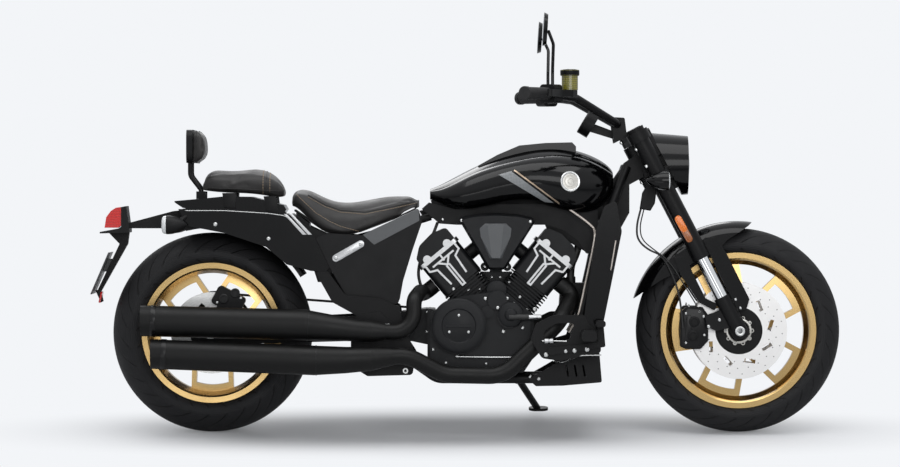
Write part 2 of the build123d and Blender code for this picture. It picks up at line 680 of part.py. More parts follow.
# one row a through bolt: x, z, radius, head flats r, head height, stand-off of the
# heads from the arms, end past the head
BOLTS = (
    (REAR_X, REAR_Z, REAR_AXLE_R, 18.0, 14.0, SEAT_GAP, 8.0),
    (PIVOT_X, PIVOT_Z, PIVOT_BOLT_R, 16.0, 9.0, 2 * SEAT_GAP + PLATE_T + EAR_T, 1.0),
)
with BuildPart() as through_bolts:
    for x, z, r, head_r, head_t, off, past in BOLTS:
        left, right = ARM_LEFT + ARM_T + off, -ARM_RIGHT - ARM_T - off
        with BuildSketch(side(left + head_t + past)):
            with Locations((x, z)):
                Circle(r)
        extrude(amount=left - right + 2 * (head_t + past))
        for y, t in ((left, -head_t), (right, head_t)):
            with BuildSketch(side(y)):
                with Locations((x, z)):
                    RegularPolygon(head_r, 6)
            extrude(amount=t)
keep("through_bolts", through_bolts.part)

PAN_HALF, PAN_T = 96.0, 5.0
PAN = [(-566, 700), (-478, 640), (-360, 634), (-250, 676), (-186, 706)]
with BuildPart() as subframe:
    for s in (-1, 1):
        with BuildSketch(side(s * STRUT_IN)):
            add(sharp_face([(-425, 606), (-410, 590), (-464, 474), (-492, 474), (-520, 560),
                            (-600, 612), (-900, 668), (-900, 699), (-598, 687), (-500, 640)]))
        extrude(amount=-s * STRUT_T)
        with BuildLine():
            path = FilletPolyline((-140, s * (SPINE_HALF + 12 + SEAT_GAP), 678),
                                  (-300, s * 46, 628), (-440, s * 60, 592), radius=[120])
        with BuildSketch(Plane(origin=path @ 0, z_dir=path % 0)):
            Circle(12)
        sweep(path=path)
    with BuildSketch(side(-STRUT_IN - 2)):
        with Locations((-446, 590)):
            Circle(13)
    extrude(amount=-2 * STRUT_IN - 4)
    # pan under the rider's seat
    with BuildSketch(side(PAN_HALF)):
        add(sharp_face([(x, z) for x, z in PAN] + [(x, z - PAN_T) for x, z in reversed(PAN)]))
    extrude(amount=2 * PAN_HALF)
    with BuildSketch(side(STRUT_IN + 1)):
        add(sharp_face([(-560, 690), (-520, 658), (-520, 640), (-560, 668)]))
    extrude(amount=2 * STRUT_IN + 2)
keep("subframe", subframe.part)

# ------------------------------------------------------------------ rear fender and tail
FENDER_R = 345.0
FENDER_HALF = STRUT_IN - SEAT_GAP
FENDER_T = 3.5
FENDER_EDGE_R = 328.0
FENDER_AHEAD, FENDER_BEHIND = 58.0, 14.0    # degrees each side of the top
with BuildPart() as rear_fender:
    with BuildSketch(radial(REAR_X, REAR_Z)):
        w, r, t = FENDER_HALF, FENDER_R, FENDER_T
        add(sharp_face([(FENDER_EDGE_R, -w), (r - 6, -w), (r, 12 - w), (r, w - 12), (r - 6, w),
                        (FENDER_EDGE_R, w), (FENDER_EDGE_R, w - t), (r - 7, w - t), (r - t, w - 13),
                        (r - t, 13 - w), (r - 7, t - w), (FENDER_EDGE_R, t - w)]))
    revolve(axis=lateral(REAR_X, REAR_Z), revolution_arc=FENDER_AHEAD)
    with BuildSketch(radial(REAR_X, REAR_Z)):
        add(sharp_face([(FENDER_EDGE_R, -w), (r - 6, -w), (r, 12 - w), (r, w - 12), (r - 6, w),
                        (FENDER_EDGE_R, w), (FENDER_EDGE_R, w - t), (r - 7, w - t), (r - t, w - 13),
                        (r - t, 13 - w), (r - 7, t - w), (FENDER_EDGE_R, t - w)]))
    revolve(axis=lateral(REAR_X, REAR_Z), revolution_arc=-FENDER_BEHIND)
keep("rear_fender", rear_fender.part)

PANEL_IN, PANEL_T = 122.3, 13.0
TAIL = [(-927, 702), (-785, 705), (-656, 694), (-591, 684), (-540, 629), (-504, 622), (-455, 520),
        (-468, 506), (-513, 509), (-588, 529), (-653, 584), (-782, 627), (-897, 649)]
with BuildPart() as tail_panels:
    for s in (-1, 1):
        with BuildSketch(side(s * PANEL_IN)):
            add(sharp_face(TAIL))
        extrude(amount=-s * PANEL_T)
keep("tail_panels", tail_panels.part)

COWL_HALF = 122.0
with BuildPart() as tail_cowl:
    with BuildSketch(side(COWL_HALF)):
        add(sharp_face([(-905, 699.3), (-905, 704), (-914, 706), (-938, 722), (-940, 727),
                        (-850, 735), (-790, 741), (-700, 740), (-657, 729), (-598, 714),
                        (-590, 700), (-598, 687.3)]))
    extrude(amount=2 * COWL_HALF)
keep("tail_cowl", tail_cowl.part)

with BuildPart() as tail_arm:
    with BuildSketch(side(40)):
        add(sharp_face([(-1087.7, 658), (-949, 695), (-905.3, 700), (-905.3, 668), (-986, 641),
                        (-1087.7, 641)]))
    extrude(amount=80)
    with BuildSketch(side(60)):
        add(sharp_face([(-1110, 646), (-1110, 708), (-1094, 711), (-1087, 658), (-1084, 641),
                        (-1084, 628), (-1177, 625), (-1177, 630), (-1118, 641)]))
    extrude(amount=120)
    with BuildSketch(side(16)):
        add(sharp_face([(-1152, 627), (-1118, 592), (-1190, 440), (-1180, 436), (-1092, 592),
                        (-1087, 630)]))
    extrude(amount=32)
keep("tail_arm", tail_arm.part)

with BuildPart() as tail_lamp:
    with BuildSketch(side(58)):
        add(sharp_face([(-1162, 643), (-1157, 676), (-1142, 696), (-1126, 706), (-1110.3, 708),
                        (-1110.3, 650), (-1120, 643)]))
    extrude(amount=116)
keep("tail_lamp", tail_lamp.part)

PLATE_LOW, PLATE_TOP = (-1204, 436), (-1148, 566)
with BuildPart() as number_plate:
    run = hypot(PLATE_TOP[0] - PLATE_LOW[0], PLATE_TOP[1] - PLATE_LOW[1])
    nx, nz = (PLATE_TOP[1] - PLATE_LOW[1]) / run, -(PLATE_TOP[0] - PLATE_LOW[0]) / run
    with BuildSketch(side(95)):
        add(sharp_face([PLATE_LOW, PLATE_TOP, (PLATE_TOP[0] + 3 * nx, PLATE_TOP[1] + 3 * nz),
                        (PLATE_LOW[0] + 3 * nx, PLATE_LOW[1] + 3 * nz)]))
    extrude(amount=190)
    with BuildSketch(side(12)):
        add(sharp_face([(-1173, 505), (-1156, 545), (-1140.7, 545), (-1159.6, 505)]))
    extrude(amount=24)
keep("number_plate", number_plate.part)

LAMP_R = 29.0
with BuildPart() as rear_indicators:
    for s in (-1, 1):
        c = (-962, s * 172, 653)
        with BuildSketch(Plane(origin=c, x_dir=(1, 0, 0), z_dir=(0, -1, 0))):
            with BuildLine():
                Line((0, 0), (0, LAMP_R))
                ThreePointArc((0, LAMP_R), (36, LAMP_R * 0.8), (66, 0))
                Line((66, 0), (0, 0))
            make_face()
        revolve(axis=Axis(c, (1, 0, 0)))
        stem = ((-897, s * PANEL_IN, 684), (-930, s * 164, 656))
        with BuildSketch(between(*stem)):
            Circle(7)
        extrude(amount=length(*stem))
        with BuildSketch(side(s * (PANEL_IN + PANEL_T + SEAT_GAP))):
            with Locations((-900, 684)):
                Rectangle(100, 100)
        extrude(amount=s * 60, mode=Mode.SUBTRACT)
keep("rear_indicators", rear_indicators.part)

# ------------------------------------------------------------------ seats
SEAT = (
    # x, floor, top, floor half, widest half, widest height, shoulder half, shoulder height
    (-576, 708, 742, 60, 82, 727, 60, 739),
    (-545, 688, 769, 90, 116, 733, 82, 761),
    (-478, 630, 735, 108, 134, 686, 100, 722),
    (-360, 625, 720, 112, 136, 668, 104, 692),
    (-250, 667, 736, 90, 116, 700, 84, 716),
    (-172, 709, 747, 50, 72, 727, 48, 740),
)
with BuildPart() as rider_seat:
    for x, zb, zt, wb, w, zw, ws, zs in SEAT:
        with BuildSketch(station(x)):
            add(body_face(zb, zt, wb, w, zw, ws, zs))
    loft()
    # hollow under the seat, over the pan and the struts
    with BuildSketch(side(PAN_HALF + SEAT_GAP)):
        add(sharp_face([(x, z + SEAT_GAP) for x, z in PAN] + [(-186, 500), (-566, 500)]))
    extrude(amount=2 * (PAN_HALF + SEAT_GAP), mode=Mode.SUBTRACT)
    with BuildSketch(side(STRUT_IN + STRUT_T + SEAT_GAP)):
        add(sharp_face([(-598, 687 + SEAT_GAP), (-500, 640 + SEAT_GAP), (-425, 606 + SEAT_GAP),
                        (-425, 500), (-598, 500)]))
    extrude(amount=2 * (STRUT_IN + STRUT_T + SEAT_GAP), mode=Mode.SUBTRACT)
keep("rider_seat", rider_seat.part)

PILLION = (
    (-858, 758, 778, 70, 86, 768, 66, 774),
    (-833, 755, 815, 84, 102, 780, 76, 806),
    (-720, 748, 820, 88, 110, 780, 80, 808),
    (-650, 740, 817, 80, 100, 776, 72, 804),
    (-616, 736, 794, 66, 84, 764, 56, 784),
    (-592, 744, 760, 44, 56, 752, 40, 758),
)
with BuildPart() as passenger_seat:
    for x, zb, zt, wb, w, zw, ws, zs in PILLION:
        with BuildSketch(station(x)):
            add(body_face(zb, zt, wb, w, zw, ws, zs))
    loft()
    add(tail_cowl.part.moved(Pos(0, 0, SEAT_GAP)), mode=Mode.SUBTRACT)
keep("passenger_seat", passenger_seat.part)

PAD_HALF = 112.0
SHELL_X = -884.3            # front face of the backrest's shell
with BuildPart() as backrest_pad:
    x0 = SHELL_X + SEAT_GAP
    with BuildSketch(side(PAD_HALF)):
        add(soft_face([(x0, 953), (-866, 949), (-851, 925), (-847, 890), (-849, 862), (-874, 842),
                       (x0, 843)], [3, 10, 20, 60, 14, 12, 3]))
    extrude(amount=2 * PAD_HALF)
    with BuildSketch(Plane.YZ.offset(SHELL_X - 20)):
        with Locations((0, 898)):
            RectangleRounded(2 * PAD_HALF, 112, 34)
    extrude(amount=80, mode=Mode.INTERSECT)
keep("backrest_pad", backrest_pad.part)

STAY_Y = 62.0
STAY_R = 6.5
# one row a post under the passenger's seat: rear and front end
POSTS = ((-874, -846), (-790, -748), (-657, -623))
with BuildPart() as backrest_stay:
    for s in (-1, 1):
        with BuildLine():
            path = FilletPolyline((-894, s * STAY_Y, 880), (-894, s * STAY_Y, 806),
                                  (-860, s * STAY_Y, 762), (-860, s * STAY_Y, 740), radius=[30, 12])
        with BuildSketch(Plane(origin=path @ 0, z_dir=path % 0)):
            Circle(STAY_R)
        sweep(path=path)
        with BuildSketch(side(s * STAY_Y - 9)):
            for a, b in POSTS:
                with Locations(((a + b) / 2, 742)):
                    Rectangle(b - a, 44 if a > -800 else 30)
        extrude(amount=-18)
    add(tail_cowl.part.moved(Pos(0, 0, SEAT_GAP)), mode=Mode.SUBTRACT)
    add(passenger_seat.part.moved(Pos(0, 0, -SEAT_GAP)), mode=Mode.SUBTRACT)
    with BuildSketch(Plane.YZ.offset(SHELL_X - 19.5)):
        with Locations((0, 898)):
            RectangleRounded(2 * PAD_HALF - 8, 104, 30)
    extrude(amount=19.5)
keep("backrest_stay", backrest_stay.part)

# ------------------------------------------------------------------ tank
TANK = (
    # x, floor, top, floor half, widest half, widest height, shoulder half, shoulder height
    (-142, 732, 764, 34, 50, 748, 34, 758),
    (-60, 705, 803, 70, 112, 752, 72, 786),
    (80, 724, 866, 104, 148, 786, 88, 842),
    (210, 724, 894, 116, 160, 800, 86, 868),
    (320, 694, 884, 96, 146, 790, 76, 864),
    (400, 716, 850, 60, 102, 790, 52, 832),
    (432, 768, 818, 30, 56, 794, 32, 810),
)
with BuildPart() as fuel_tank:
    for x, zb, zt, wb, w, zw, ws, zs in TANK:
        with BuildSketch(station(x)):
            add(body_face(zb, zt, wb, w, zw, ws, zs))
    loft()
    with BuildSketch(side(SPINE_HALF + SPINE_GAP)):
        add(sharp_face([(x, z + SEAT_GAP) for x, z in SPINE_TOP] +
                       [(528, 802), (500, 600), (150, 600), (-176, 600)]))
    extrude(amount=2 * (SPINE_HALF + SPINE_GAP), mode=Mode.SUBTRACT)
keep("fuel_tank", fuel_tank.part)

CONSOLE_HALF = 44.0
with BuildPart() as tank_console:
    with BuildSketch(side(CONSOLE_HALF)):
        add(sharp_face([(6, 780), (9, 838), (70, 872), (138, 901), (220, 909), (304, 911), (316, 898),
                        (316, 840)]))
    extrude(amount=2 * CONSOLE_HALF)
    add(fuel_tank.part.moved(Pos(0, 0, SEAT_GAP)), mode=Mode.SUBTRACT)
keep("tank_console", tank_console.part)

SIDE_IN, SIDE_T = 122.3, 17.0
with BuildPart() as side_covers:
    for s in (-1, 1):
        with BuildSketch(side(s * SIDE_IN)):
            add(soft_face([(-452, 516), (-498, 612), (-460, 627), (-356, 620), (-180, 703),
                           (-167, 662), (-199, 568), (-228, 473), (-240, 406), (-390, 411)],
                          [6, 6, 12, 20, 6, 10, 60, 60, 12, 12]))
        extrude(amount=-s * SIDE_T)
    add(rider_seat.part.moved(Pos(0, 0, -2 * SEAT_GAP)), mode=Mode.SUBTRACT)
keep("side_covers", side_covers.part)

# ------------------------------------------------------------------ intake and radiator
STUB_D = 222.0               # height of the intake stubs along the cylinders
with BuildPart() as air_cleaner:
    with BuildSketch(side(-97)):
        add(soft_face([(-48, 662), (-46, 676), (0, 686), (66, 690), (132, 686), (178, 676),
                       (186, 660), (92, 512), (40, 512)], [4, 8, 40, 90, 40, 8, 8, 16, 16]))
    extrude(amount=52, taper=9)
    # throttle body and plenum between the cylinders
    with BuildSketch(side(-97)):
        add(soft_face([(-26, 652), (158, 652), (82, 528), (50, 528)], 10))
    extrude(amount=-190)
    # a stub to the inner flank of each head
    for e in (-1, 1):
        r = HEAD_HALF + SEAT_GAP
        a, b = [(CRANK_X + e * (STUB_D * VS - q * VC), 0, CRANK_Z + STUB_D * VC + q * VS)
                for q in (r, r + 66)]
        with BuildSketch(between(a, b)):
            Circle(22)
        extrude(amount=length(a, b))
keep("air_cleaner", air_cleaner.part)

# box of coils and battery under the tank, each side of the spine
BOX_HALF = 68.0
with BuildPart() as air_box:
    with BuildSketch(side(BOX_HALF)):
        add(sharp_face([(-168, 702), (-146, 722), (-60, 700), (80, 717), (210, 717), (320, 688),
                        (384, 700), (384, 622), (388, 602), (374, 568), (350, 562), (322, 602),
                        (275, 636), (225, 652.3), (-60, 652.3), (-112, 656)]))
    extrude(amount=2 * BOX_HALF)
    with BuildSketch(side(SPINE_HALF + SEAT_GAP)):
        add(sharp_face([(-220, 657.6 - SEAT_GAP), (150, 722 - SEAT_GAP), (470, 770 - SEAT_GAP), (470, 900), (-220, 900)]))
    extrude(amount=2 * (SPINE_HALF + SEAT_GAP), mode=Mode.SUBTRACT)
    # room for the tubes that run back from the spine
    with BuildSketch(side(58)):
        add(sharp_face([(-200, 600), (-130, 600), (-130, 800), (-200, 800)]))
    extrude(amount=2 * 58, mode=Mode.SUBTRACT)
    add(fuel_tank.part.moved(Pos(0, 0, -2 * SEAT_GAP)), mode=Mode.SUBTRACT)
keep("air_box", air_box.part)

CORE_HALF = 135.0
with BuildPart() as radiator:
    with BuildSketch(side(CORE_HALF)):
        add(sharp_face([(402.6, 612), (446, 620), (386, 318), (338.4, 330)]))
    extrude(amount=2 * CORE_HALF)
keep("radiator", radiator.part)

SHROUD_T = 14.0
with BuildPart() as radiator_shrouds:
    for s in (-1, 1):
        with BuildSketch(side(s * (CORE_HALF + SEAT_GAP))):
            add(soft_face([(376, 640), (402, 712), (438, 730), (456, 632), (391, 310), (337, 357)],
                          [10, 20, 10, 30, 8, 8]))
        extrude(amount=-s * SHROUD_T)
keep("radiator_shrouds", radiator_shrouds.part)

BELLY_HALF = 142.0
BELLY_T = 5.0
with BuildPart() as belly_fairing:
    with BuildSketch(side(BELLY_HALF)):
        add(soft_face([(164, 172), (188, 150), (272, 151.5), (394, 162), (386, 258), (341, 254),
                       (263, 229), (226, 207)], 6))
    extrude(amount=2 * BELLY_HALF)
    with BuildSketch(side(BELLY_HALF - BELLY_T)):
        add(sharp_face([(120, RAIL_Z - RAIL_R - SEAT_GAP), (272, RAIL_Z - RAIL_R - SEAT_GAP),
                        (388.5, 167), (380, 300), (100, 300)]))
    extrude(amount=2 * (BELLY_HALF - BELLY_T), mode=Mode.SUBTRACT)
    with BuildSketch(side(BELLY_HALF + 1)):
        for x in (286, 312, 338):
            with Locations((x, 198)):
                SlotOverall(38, 6, rotation=100)
    extrude(amount=2 * BELLY_HALF + 2, mode=Mode.SUBTRACT)
keep("belly_fairing", belly_fairing.part)

# ------------------------------------------------------------------ exhaust
PIPE_R = 26.0
UPPER_PIPE_R = 24.0
MUFFLER_R = 48.0
MUFFLER_WALL = 9.0
MUFFLER_MOUTH = 26.0
PORT_Y = -62.0
PORT_OUT = 1.0              # pipe flange to head face


def port(e, d, out):
    """Point straight out from the outer flank of one head."""
    r = HEAD_HALF + PORT_OUT + out
    return (CRANK_X + e * (d * VS + r * VC), PORT_Y, CRANK_Z + d * VC - r * VS)


# one row a pipe: name, pipe radius, corner radii, centre line from silencer to port
PIPES = (
    ("exhaust_upper", UPPER_PIPE_R, [62, 36, 30, 28],
     [(-290, UP_Y, 322), (-190, -212, 320), (-192, -198, 420), (-172, -130, 444),
      port(-1, 215, 46), port(-1, 215, 0)]),
    ("exhaust_lower", PIPE_R, [120, 120, 110, 90, 34],
     [(-330, LOW_Y, 238), (-215, -224, 250), (-95, -204, 188), (85, -196, 184),
      (256, -170, 346), port(1, 222, 58), port(1, 222, 0)]),
)
# silencers: centre line place and radius, then the mouth
SILENCERS = {
    "exhaust_upper": (((-280, UP_Y, 321.8), UPPER_PIPE_R + 1.5), ((-320, UP_Y, 323), 33.0),
                      ((-365, UP_Y, 326), 34.0), ((-528, UP_Y, 343), MUFFLER_R),
                      ((-1039, UP_Y, 356), MUFFLER_R)),
    "exhaust_lower": (((-256, -229.0, 245.7), PIPE_R + 1.5), ((-322, LOW_Y + 1, 239), 37.0),
                      ((-400, LOW_Y, 235), 41.0), ((-500, LOW_Y, 234), MUFFLER_R - 2), ((-1006, LOW_Y, 254), MUFFLER_R - 2)),
}
for name, pipe_r, bends, points in PIPES:
    with BuildPart() as exhaust:
        with BuildLine():
            path = FilletPolyline(*points, radius=bends)
        with BuildSketch(Plane(origin=path @ 0, z_dir=path % 0)):
            Circle(pipe_r)
        sweep(path=path)
        line = SILENCERS[name]
        for (a, ra), (b, rb) in zip(line, line[1:]):
            with BuildSketch(Plane.YZ.offset(a[0])):
                with Locations((a[1], a[2])):
                    Circle(ra)
            with BuildSketch(Plane.YZ.offset(b[0])):
                with Locations((b[1], b[2])):
                    Circle(rb)
            loft()
        end, r = line[-1]
        with BuildSketch(Plane.YZ.offset(end[0] - 1)):
            with Locations((end[1], end[2])):
                Circle(r - MUFFLER_WALL)
        extrude(amount=MUFFLER_MOUTH, mode=Mode.SUBTRACT)
    keep(name, exhaust.part)

# ------------------------------------------------------------------ rider's feet
FOOT_Y = 216.0
FOOT_T = 11.0
PEG = (349, 312)
PEG_LEN = 92.0
LEVER_T = 9.0
PEDAL_LEN = 62.0
BOSSES = ((324, 352), (312, 288))
with BuildPart() as foot_controls:
    for s in (-1, 1):
        with BuildSketch(side(s * FOOT_Y)):
            add(soft_face([(337, 374), (240, 374), (186, 348), (170, 300), (205, 240), (262, 232),
                           (388, 258), (388, 318), (352, 345)], [8, 30, 20, 20, 20, 20, 10, 10, 10]))
            add(soft_face([(306, 350), (250, 348), (214, 328), (208, 300), (240, 285), (292, 300)],
                          8), mode=Mode.SUBTRACT)
        extrude(amount=-s * FOOT_T)
        with BuildSketch(side(s * FOOT_Y)):
            for x, z in BOSSES:
                with Locations((x, z)):
                    Circle(9)
        extrude(amount=s * (FOOT_Y - RAIL_Y - RAIL_R + 8))
    add(frame_cradle.part, mode=Mode.SUBTRACT)
    # peg, and the lever under it with its pad ahead of the peg
    for s in (-1, 1):
        with BuildSketch(side(s * (FOOT_Y + FOOT_T))):
            with Locations(PEG):
                RectangleRounded(48, 34, 12)
        extrude(amount=-s * PEG_LEN)
        with BuildSketch(side(s * (FOOT_Y + FOOT_T))):
            with Locations((236, 262)):
                Circle(13)
            add(soft_face([(232, 250), (232, 274), (318, 282), (380, 290), (376, 344), (396, 344),
                           (402, 276), (320, 262)], 5))
        extrude(amount=-s * LEVER_T)
        with BuildSketch(side(s * (FOOT_Y + FOOT_T))):
            with Locations((386, 348)):
                RectangleRounded(30, 20, 8) if s < 0 else Circle(9)
        extrude(amount=-s * PEDAL_LEN)
keep("foot_controls", foot_controls.part)

# ------------------------------------------------------------------ side stand
with BuildPart() as side_stand:
    with BuildSketch(pin_plane.offset(-8)):
        Circle(19)
        with Locations((24, 0)):
            Rectangle(48, 26)
        Circle(STAND_PIN_R + RUN_GAP, mode=Mode.SUBTRACT)
    extrude(amount=16)
    knee = pivot + down * 44
    with BuildSketch(Plane(origin=knee, z_dir=down)):
        Circle(STAND_R)
    extrude(amount=(foot - knee).length - 8)
    with BuildSketch(Plane(origin=foot, x_dir=(1, 0, 0), z_dir=(0, -LEAN_S, LEAN_C))):
        SlotOverall(62, 44)
    extrude(amount=PAD_T)
    with BuildSketch(Plane(origin=foot - Vector(0, 0, 60), x_dir=(1, 0, 0),
                           z_dir=(0, -LEAN_S, LEAN_C))):
        Rectangle(200, 200)
    extrude(amount=60 * LEAN_C, mode=Mode.SUBTRACT)
keep("side_stand", side_stand.part)

# ================================================================== steering
CLAMP_GROW = (10.0, 8.0)    # lower and top clamp past the leg
with BuildPart() as fork_outers:
    for s0, grow in zip((CLAMP_LOW_S, CLAMP_TOP_S), CLAMP_GROW):
        with BuildSketch(across_fork(0, 0, s0 - CLAMP_T / 2)):
            for y in (-FORK_HALF, FORK_HALF):
                with Locations((0, y)):
                    Circle(FORK_OUTER_R + grow)
            with Locations((-FORK_OFFSET, 0)):
                Circle(HEAD_R - 3)
            add(sharp_face([(CLAMP_FRONT, -FORK_HALF), (CLAMP_FRONT, FORK_HALF), (-16, FORK_HALF),
                            (-FORK_OFFSET - 22, 18), (-FORK_OFFSET - 22, -18), (-16, -FORK_HALF)]))
        extrude(amount=CLAMP_T)
    with BuildSketch(across_fork(-FORK_OFFSET, 0, CLAMP_LOW_S)):
        Circle(STEM_R)
    extrude(amount=CLAMP_TOP_S - CLAMP_LOW_S)
    for y in (-FORK_HALF, FORK_HALF):
        with BuildSketch(across_fork(0, y, OUTER_LOW)):
            Circle(FORK_OUTER_R)
        extrude(amount=OUTER_TOP - OUTER_LOW)
        with BuildSketch(across_fork(0, y, OUTER_LOW)):
            Circle(FORK_TUBE_R + SEAT_GAP)
        extrude(amount=TUBE_IN + 2, mode=Mode.SUBTRACT)
keep("fork_outers", fork_outers.part)

with BuildPart() as fork_tubes:
    for y in (-FORK_HALF, FORK_HALF):
        with BuildSketch(across_fork(0, y, FOOT_TOP)):
            Circle(FORK_TUBE_R)
        extrude(amount=OUTER_LOW + TUBE_IN - FOOT_TOP)
keep("fork_tubes", fork_tubes.part)

with BuildPart() as fork_feet:
    for y in (-FORK_HALF, FORK_HALF):
        sgn = 1 if y > 0 else -1
        with BuildSketch(across_fork(0, y, -24)):
            Circle(FORK_FOOT_R)
        extrude(amount=FOOT_TOP + 24)
        with BuildSketch(fork_side(y + 10)):
            add(soft_face([(-20, 22), (-20, 86), (-74, 92), (-84, 60), (-66, 34)], [4, 8, 10, 10, 10]))
        extrude(amount=20)
    with BuildSketch(fork_side(200)):
        Circle(FRONT_AXLE_R + RUN_GAP)
    extrude(amount=400, mode=Mode.SUBTRACT)
keep("fork_feet", fork_feet.part)

AXLE_END = FORK_HALF + FORK_FOOT_R + 5
with BuildPart() as front_axle:
    with BuildSketch(side(AXLE_END)):
        with Locations((FRONT_X, FRONT_Z)):
            Circle(FRONT_AXLE_R)
            Circle(FRONT_AXLE_BORE_R, mode=Mode.SUBTRACT)
    extrude(amount=2 * AXLE_END)
keep("front_axle", front_axle.part)

CALIPER = (FRONT_X - 141, FRONT_Z + 9)
with BuildPart() as front_calipers:
    for s in (-1, 1):
        with BuildSketch(side(s * 56)):
            with Locations(CALIPER):
                add(soft_face([(-44, -58), (-44, 46), (-26, 66), (26, 66), (44, 40), (44, -40),
                               (20, -66), (-26, -66)], 8))
        extrude(amount=-s * 38)
    with BuildSketch(side(FRONT_DISC_Y + DISC_T + 1.5)):
        with Locations((FRONT_X, FRONT_Z)):
            Circle(FRONT_DISC_R + 5)
    extrude(amount=DISC_T + 3, mode=Mode.SUBTRACT)
    with BuildSketch(side(-FRONT_DISC_Y + 1.5)):
        with Locations((FRONT_X, FRONT_Z)):
            Circle(FRONT_DISC_R + 5)
    extrude(amount=DISC_T + 3, mode=Mode.SUBTRACT)
keep("front_calipers", front_calipers.part)

FRONT_FENDER_R = 341.0
FRONT_FENDER_HALF = 76.0
FRONT_FENDER_T = 3.5
SKIRT_R = 256.0
FENDER_AHEAD_DEG = 9.0        # the tip runs ahead of the wheel's top
with BuildPart() as front_fender:
    ahead = radians(FENDER_AHEAD_DEG)
    with BuildSketch(Plane(origin=(FRONT_X, 0, FRONT_Z), x_dir=(sin(ahead), 0, cos(ahead)),
                           z_dir=(-cos(ahead), 0, sin(ahead)))):
        with BuildLine():
            w, r, t = FRONT_FENDER_HALF, FRONT_FENDER_R, FRONT_FENDER_T
            Line((SKIRT_R, w - t), (SKIRT_R, w))
            Line((SKIRT_R, w), (r - 34, w))
            ThreePointArc((r - 34, w), (r - 8, w * 0.66), (r, 0))
            ThreePointArc((r, 0), (r - 8, -w * 0.66), (r - 34, -w))
            Line((r - 34, -w), (SKIRT_R, -w))
            Line((SKIRT_R, -w), (SKIRT_R, -w + t))
            Line((SKIRT_R, -w + t), (r - 34, -w + t))
            ThreePointArc((r - 34, -w + t), (r - 8 - t, -w * 0.66 + 1), (r - t, 0))
            ThreePointArc((r - t, 0), (r - 8 - t, w * 0.66 - 1), (r - 34, w - t))
            Line((r - 34, w - t), (SKIRT_R, w - t))
        make_face()
    revolve(axis=lateral(FRONT_X, FRONT_Z), revolution_arc=-75 - FENDER_AHEAD_DEG)
    with BuildSketch(side(120)):
        add(sharp_face([(498, 421), (540, 452), (590, 484), (644, 507), (700, 500), (750, 560),
                        (788, 604), (856, 649), (872, 664), (885, 760), (400, 760), (400, 380)]))
    extrude(amount=240, mode=Mode.INTERSECT)
    # arched stays outside the skirt, round each fork leg
    for s in (-1, 1):
        with BuildSketch(side(s * FRONT_FENDER_HALF)):
            add(soft_face([(709, 612), (751, 614), (784, 565), (857, 420), (846, 386), (822, 384),
                           (780, 431), (741, 544)], 8))
            add(soft_face([(621, 550), (657, 554), (679, 503), (719, 424), (757, 404), (748, 384),
                           (699, 410), (641, 497)], 6))
        extrude(amount=-s * 20)
        for r, s0, s1 in ((FORK_FOOT_R + SEAT_GAP, -40, FOOT_TOP + 1), (FORK_OUTER_R + 1, 80, 500)):
            with BuildSketch(across_fork(0, s * FORK_HALF, s0)):
                Circle(r)
            extrude(amount=s1 - s0, mode=Mode.SUBTRACT)
keep("front_fender", front_fender.part)

# ------------------------------------------------------------------ lamp, bars and controls
LAMP_X, LAMP_Z = 668.0, 839.0
SHELL_FRONT_R, SHELL_BACK_R = 92.0, 104.0
with BuildPart() as headlight_shell:
    with BuildSketch(side(0)):
        with BuildLine():
            Polyline((LAMP_X, LAMP_Z), (LAMP_X, LAMP_Z + SHELL_FRONT_R),
                     (LAMP_X - 144, LAMP_Z + SHELL_BACK_R), (LAMP_X - 200, LAMP_Z + 60),
                     (LAMP_X - 200, LAMP_Z), close=True)
        make_face()
    revolve(axis=Axis((LAMP_X, 0, LAMP_Z), (1, 0, 0)))
    with BuildSketch(fork_side(300)):
        add(sharp_face([(FORK_OUTER_R + 12, 300), (FORK_OUTER_R + 12, 900), (-400, 900),
                        (-400, 300)]))
    extrude(amount=600, mode=Mode.SUBTRACT)
    with BuildSketch(Plane.YZ.offset(LAMP_X - 24)):
        with Locations((0, LAMP_Z)):
            Circle(SHELL_FRONT_R - 5)
    extrude(amount=30, mode=Mode.SUBTRACT)
    # ear onto the lower clamp
    with BuildSketch(fork_side(70)):
        add(sharp_face([(CLAMP_FRONT + SEAT_GAP, CLAMP_LOW_S - 12),
                        (CLAMP_FRONT + SEAT_GAP, CLAMP_LOW_S + 12),
                        (FORK_OUTER_R + 14, CLAMP_LOW_S + 12), (FORK_OUTER_R + 14, CLAMP_LOW_S - 12)]))
    extrude(amount=140)
keep("headlight_shell", headlight_shell.part)

LENS_R = SHELL_FRONT_R - 5.5
LENS_DOME = 16.0            # height of the domed face
LENS_RIM_X = LAMP_X - 10
dome_r = (LENS_R ** 2 + LENS_DOME ** 2) / (2 * LENS_DOME)
dome_x = LENS_RIM_X + LENS_DOME - dome_r
half_turn = asin(LENS_R / dome_r) / 2
with BuildPart() as headlight_lens:
    with BuildSketch(side(0)):
        with BuildLine():
            Polyline((LENS_RIM_X + LENS_DOME, LAMP_Z), (LAMP_X - 23.7, LAMP_Z),
                     (LAMP_X - 23.7, LAMP_Z + LENS_R), (LENS_RIM_X, LAMP_Z + LENS_R))
            ThreePointArc((LENS_RIM_X, LAMP_Z + LENS_R),
                          (dome_x + dome_r * cos(half_turn), LAMP_Z + dome_r * sin(half_turn)),
                          (LENS_RIM_X + LENS_DOME, LAMP_Z))
        make_face()
    revolve(axis=Axis((LAMP_X, 0, LAMP_Z), (1, 0, 0)))
keep("headlight_lens", headlight_lens.part)

